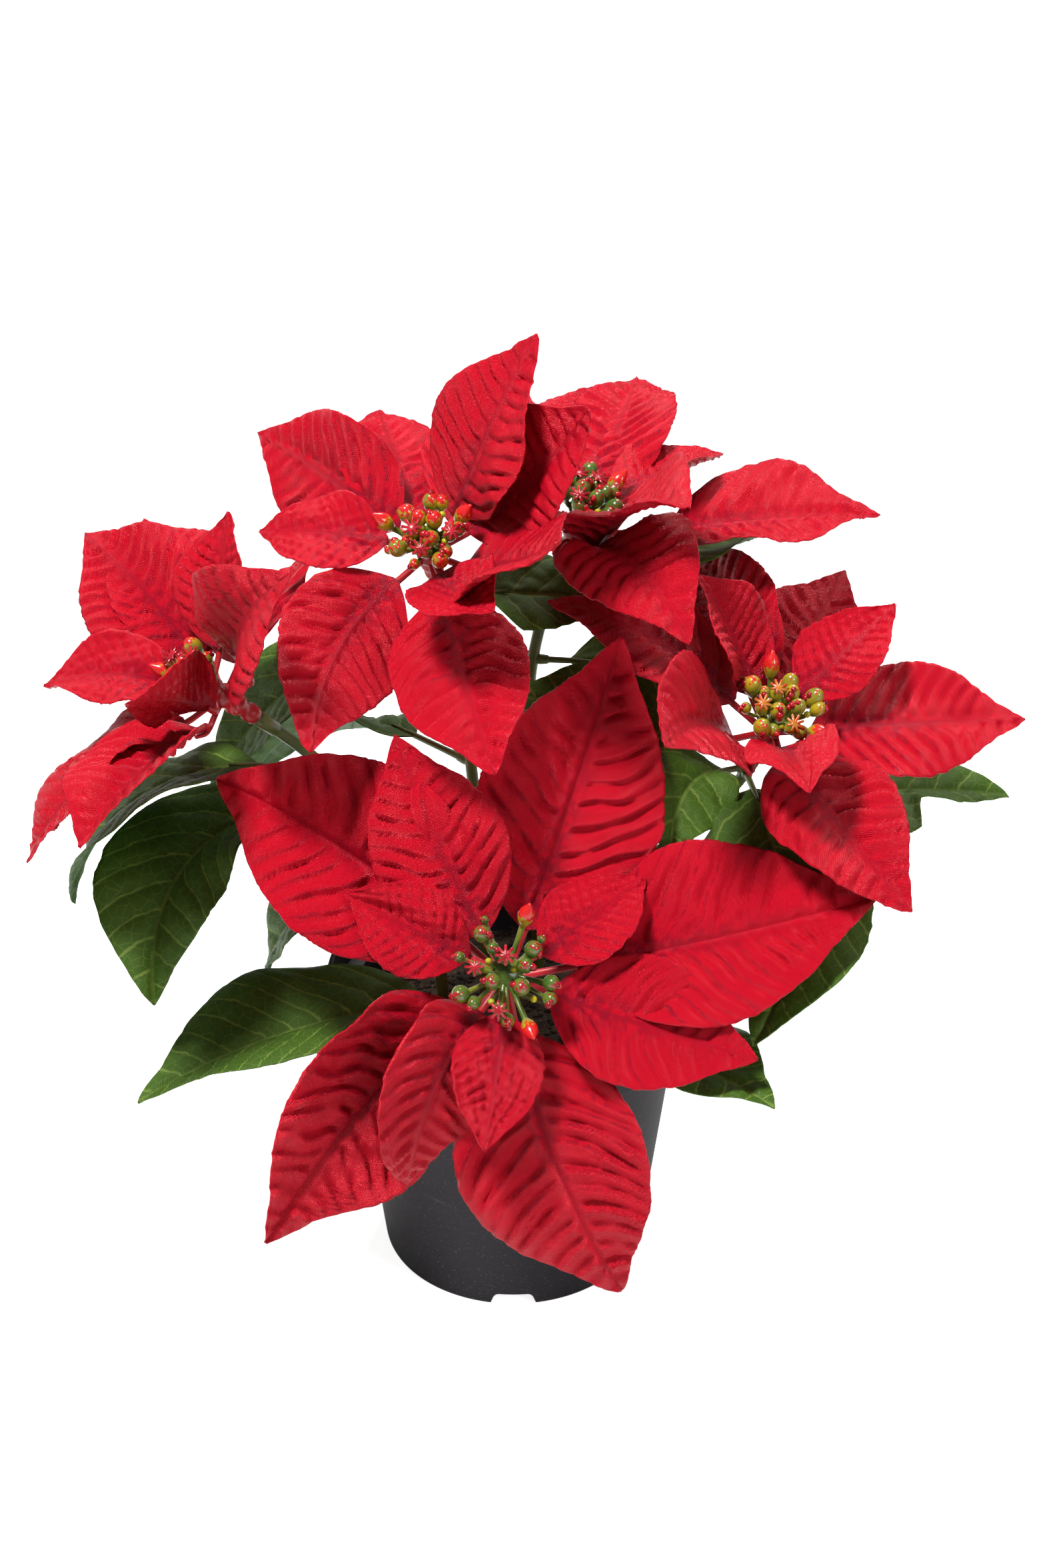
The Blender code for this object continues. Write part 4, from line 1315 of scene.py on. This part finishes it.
def notch_cutter(turn):
    """What is cut from the foot at one notch: wider below, with rounded upper corners."""
    top = NOTCH_TOP_WIDTH / 2.0
    foot = NOTCH_FOOT_WIDTH / 2.0
    slope = (foot - top) / NOTCH_HEIGHT
    top_z = NOTCH_HEIGHT - 0.4
    soft = 1.2
    half = [
        (foot + slope, -1.0), (top + slope * soft, top_z - soft),
        (top - 0.35, top_z - 0.35), (top - soft, top_z),
    ]
    section = half + [(-x, z) for x, z in reversed(half)]
    angle = math.radians(turn)
    across = np.array((math.cos(angle), math.sin(angle), 0.0))
    outward = np.array((math.sin(angle), -math.cos(angle), 0.0))
    made = bmesh.new()
    ends = []
    for distance in (BASE_RADIUS - FOOT_WIDTH - 4.0, BASE_RADIUS + 4.0):
        places = [(across * x + outward * distance + UP * z) * MM for x, z in section]
        ends.append([made.verts.new(place) for place in places])
    near, far = ends
    made.faces.new(near)
    made.faces.new(far[::-1])
    for step in range(len(section)):
        after = (step + 1) % len(section)
        made.faces.new((near[step], far[step], far[after], near[after]))
    return link_new("notch", mesh_of("notch", made))


def make_pot():
    """The moulded pot: foot, pad, wall and rim turned in one, and the notches cut from the foot."""
    profile = (
        (0.0, 0.0),
        (PAD_RADIUS, 0.0),
        (PAD_RADIUS + 1.0, FLOOR_UNDER_Z),
        (BASE_RADIUS - FOOT_WIDTH - 0.4, FLOOR_UNDER_Z),
        (BASE_RADIUS - FOOT_WIDTH, 0.0),
        (BASE_RADIUS - 0.2, 0.0),
        (BASE_RADIUS, 0.8),
        (WALL_TOP_RADIUS, RIM_LOWER_Z),
        (RIM_RADIUS - 0.9, RIM_LOWER_Z),
        (RIM_RADIUS, POT_HEIGHT),
        (RIM_RADIUS - 2.0, POT_HEIGHT),
        (RIM_RADIUS - 2.6, RIM_LOWER_Z + WALL),
        (WALL_TOP_RADIUS - WALL, RIM_LOWER_Z + WALL),
        (BASE_RADIUS - WALL + WALL_SLOPE * FLOOR_Z, FLOOR_Z),
        (0.0, FLOOR_Z),
    )
    pot = link_new("pot_moulded", turned_mesh("pot_moulded", rounded(profile, 0.7), 128))
    pot.data.materials.append(POT_PLASTIC)
    cutters = [notch_cutter(turn) for turn in NOTCH_TURNS]
    for cutter in cutters:
        cut = pot.modifiers.new("cut", "BOOLEAN")
        cut.operation = "DIFFERENCE"
        cut.solver = "EXACT"
        cut.object = cutter
    mesh = bpy.data.meshes.new_from_object(pot.evaluated_get(bpy.context.evaluated_depsgraph_get()))
    pot.modifiers.clear()
    pot.data = mesh
    for cutter in cutters:
        bpy.data.objects.remove(cutter, do_unlink=True)
    mesh.shade_smooth()
    mesh.set_sharp_from_angle(angle=math.radians(40.0))
    hand_over(pot, "pot_plastic", "pot")


def lumpy(points, radius):
    """The fill's points with low lumps on its top, up to a millimetre from its edge."""
    draw = np.random.default_rng(FILL_SEED)
    upper = points[:, 2] > (FILL_Z - FILL_DISH - 0.1) * MM
    lumps = soft_noise(points[:, 0] / (LUMP_STEP * MM), points[:, 1] / (LUMP_STEP * MM), draw)
    inner = np.hypot(points[:, 0], points[:, 1]) < (radius - 1.0) * MM
    points[:, 2] += np.where(upper & inner, LUMP_HEIGHT * MM * lumps, 0.0)
    return points


def make_fill():
    """The potting fill, a little lower at the wall, with loose grains on it."""
    low = BASE_RADIUS - WALL + WALL_SLOPE * FLOOR_Z - 2.0 * SEAT_GAP
    high = BASE_RADIUS - WALL + WALL_SLOPE * (FILL_Z - FILL_DISH) - 2.0 * SEAT_GAP
    profile = [(0.0, FLOOR_Z + SEAT_GAP), (low, FLOOR_Z + SEAT_GAP), (high, FILL_Z - FILL_DISH)]
    for share in np.linspace(0.97, 0.03, 24):
        profile.append((high * share, FILL_Z - FILL_DISH * ease(0.6, 1.0, share)))
    profile.append((0.0, FILL_Z))
    body = link_new("fill", turned_mesh("fill", profile, 72))
    reshape(body.data, lambda points: lumpy(points, high))
    grain = link_new("grain", turned_mesh("grain", ((0.0, -0.7), (0.9, -0.3), (1.0, 0.3), (0.0, 0.8)), 5))
    made = grow(body, GRANULES, "potting_fill", Grain=grain, Finish=FILL)
    bpy.data.objects.remove(grain, do_unlink=True)
    hand_over(made, "potting_fill", "soil")


# Camera of the photograph, matched on the pot's rim, foot and notch, and the floor; in metres
LENS = 90.0
SENSOR = 36.0
CAMERA_PLACE = (0.003, -1.013, 0.849)
CAMERA_DOWN = 33.62
FLOOR_REACH = 20.0


def make_camera():
    data = bpy.data.cameras.new("camera")
    data.lens = LENS
    data.sensor_width = SENSOR
    data.clip_start = 0.01
    camera = link_new("camera", data)
    camera.location = CAMERA_PLACE
    camera.rotation_euler = (math.radians(90.0 - CAMERA_DOWN), 0.0, 0.0)
    bpy.context.scene.camera = camera


def make_light(name, place, size, power, aim=(0.0, 0.0, 0.16)):
    data = bpy.data.lights.new(name, "AREA")
    data.shape = "DISK"
    data.size = size
    data.energy = power
    light = link_new(name, data)
    light.location = place
    light.rotation_euler = (Vector(aim) - Vector(place)).to_track_quat("-Z", "Y").to_euler()


def make_studio():
    """White surroundings, three soft lights, and a floor that looks white to the camera."""
    world = bpy.data.worlds.new("studio")
    world.use_nodes = True
    feed(world.node_tree.nodes["Background"], Color=(1.0, 1.0, 1.0), Strength=0.24)
    bpy.context.scene.world = world
    make_light("key", (-0.45, -0.25, 1.5), 0.3, 33.0)
    make_light("fill", (1.0, -0.9, 0.8), 0.5, 7.0)
    make_light("back", (0.3, 1.0, 1.2), 0.5, 12.0)
    floor = link_new("floor", bpy.data.meshes.new("floor"))
    reach = FLOOR_REACH
    corners = [(-reach, -reach, 0.0), (reach, -reach, 0.0), (reach, reach, 0.0), (-reach, reach, 0.0)]
    floor.data.from_pydata(corners, [], [(0, 1, 2, 3)])
    surface, tree, shader = new_surface("pale floor")
    seen = add_node(tree, "ShaderNodeLightPath").outputs["Is Camera Ray"]
    feed(shader, Base_Color=(0.9, 0.9, 0.9), Roughness=0.8, Specular_IOR_Level=0.2,
         Emission_Color=(1.0, 1.0, 1.0), Emission_Strength=spread(seen, 0.0, 1.0, 0.12, 0.85))
    floor.data.materials.append(surface)
    bpy.context.scene.view_settings.view_transform = "Standard"
    bpy.context.scene.view_settings.exposure = 0.0


def main():
    make_camera()
    make_studio()
    make_pot()
    make_fill()
    parts = templates()
    for name in FLOWERS:
        make_bracts(name)
        make_arms(name)
        make_stem(name)
        make_centre(name, parts)
    for part in parts.values():
        bpy.data.objects.remove(part, do_unlink=True)


main()
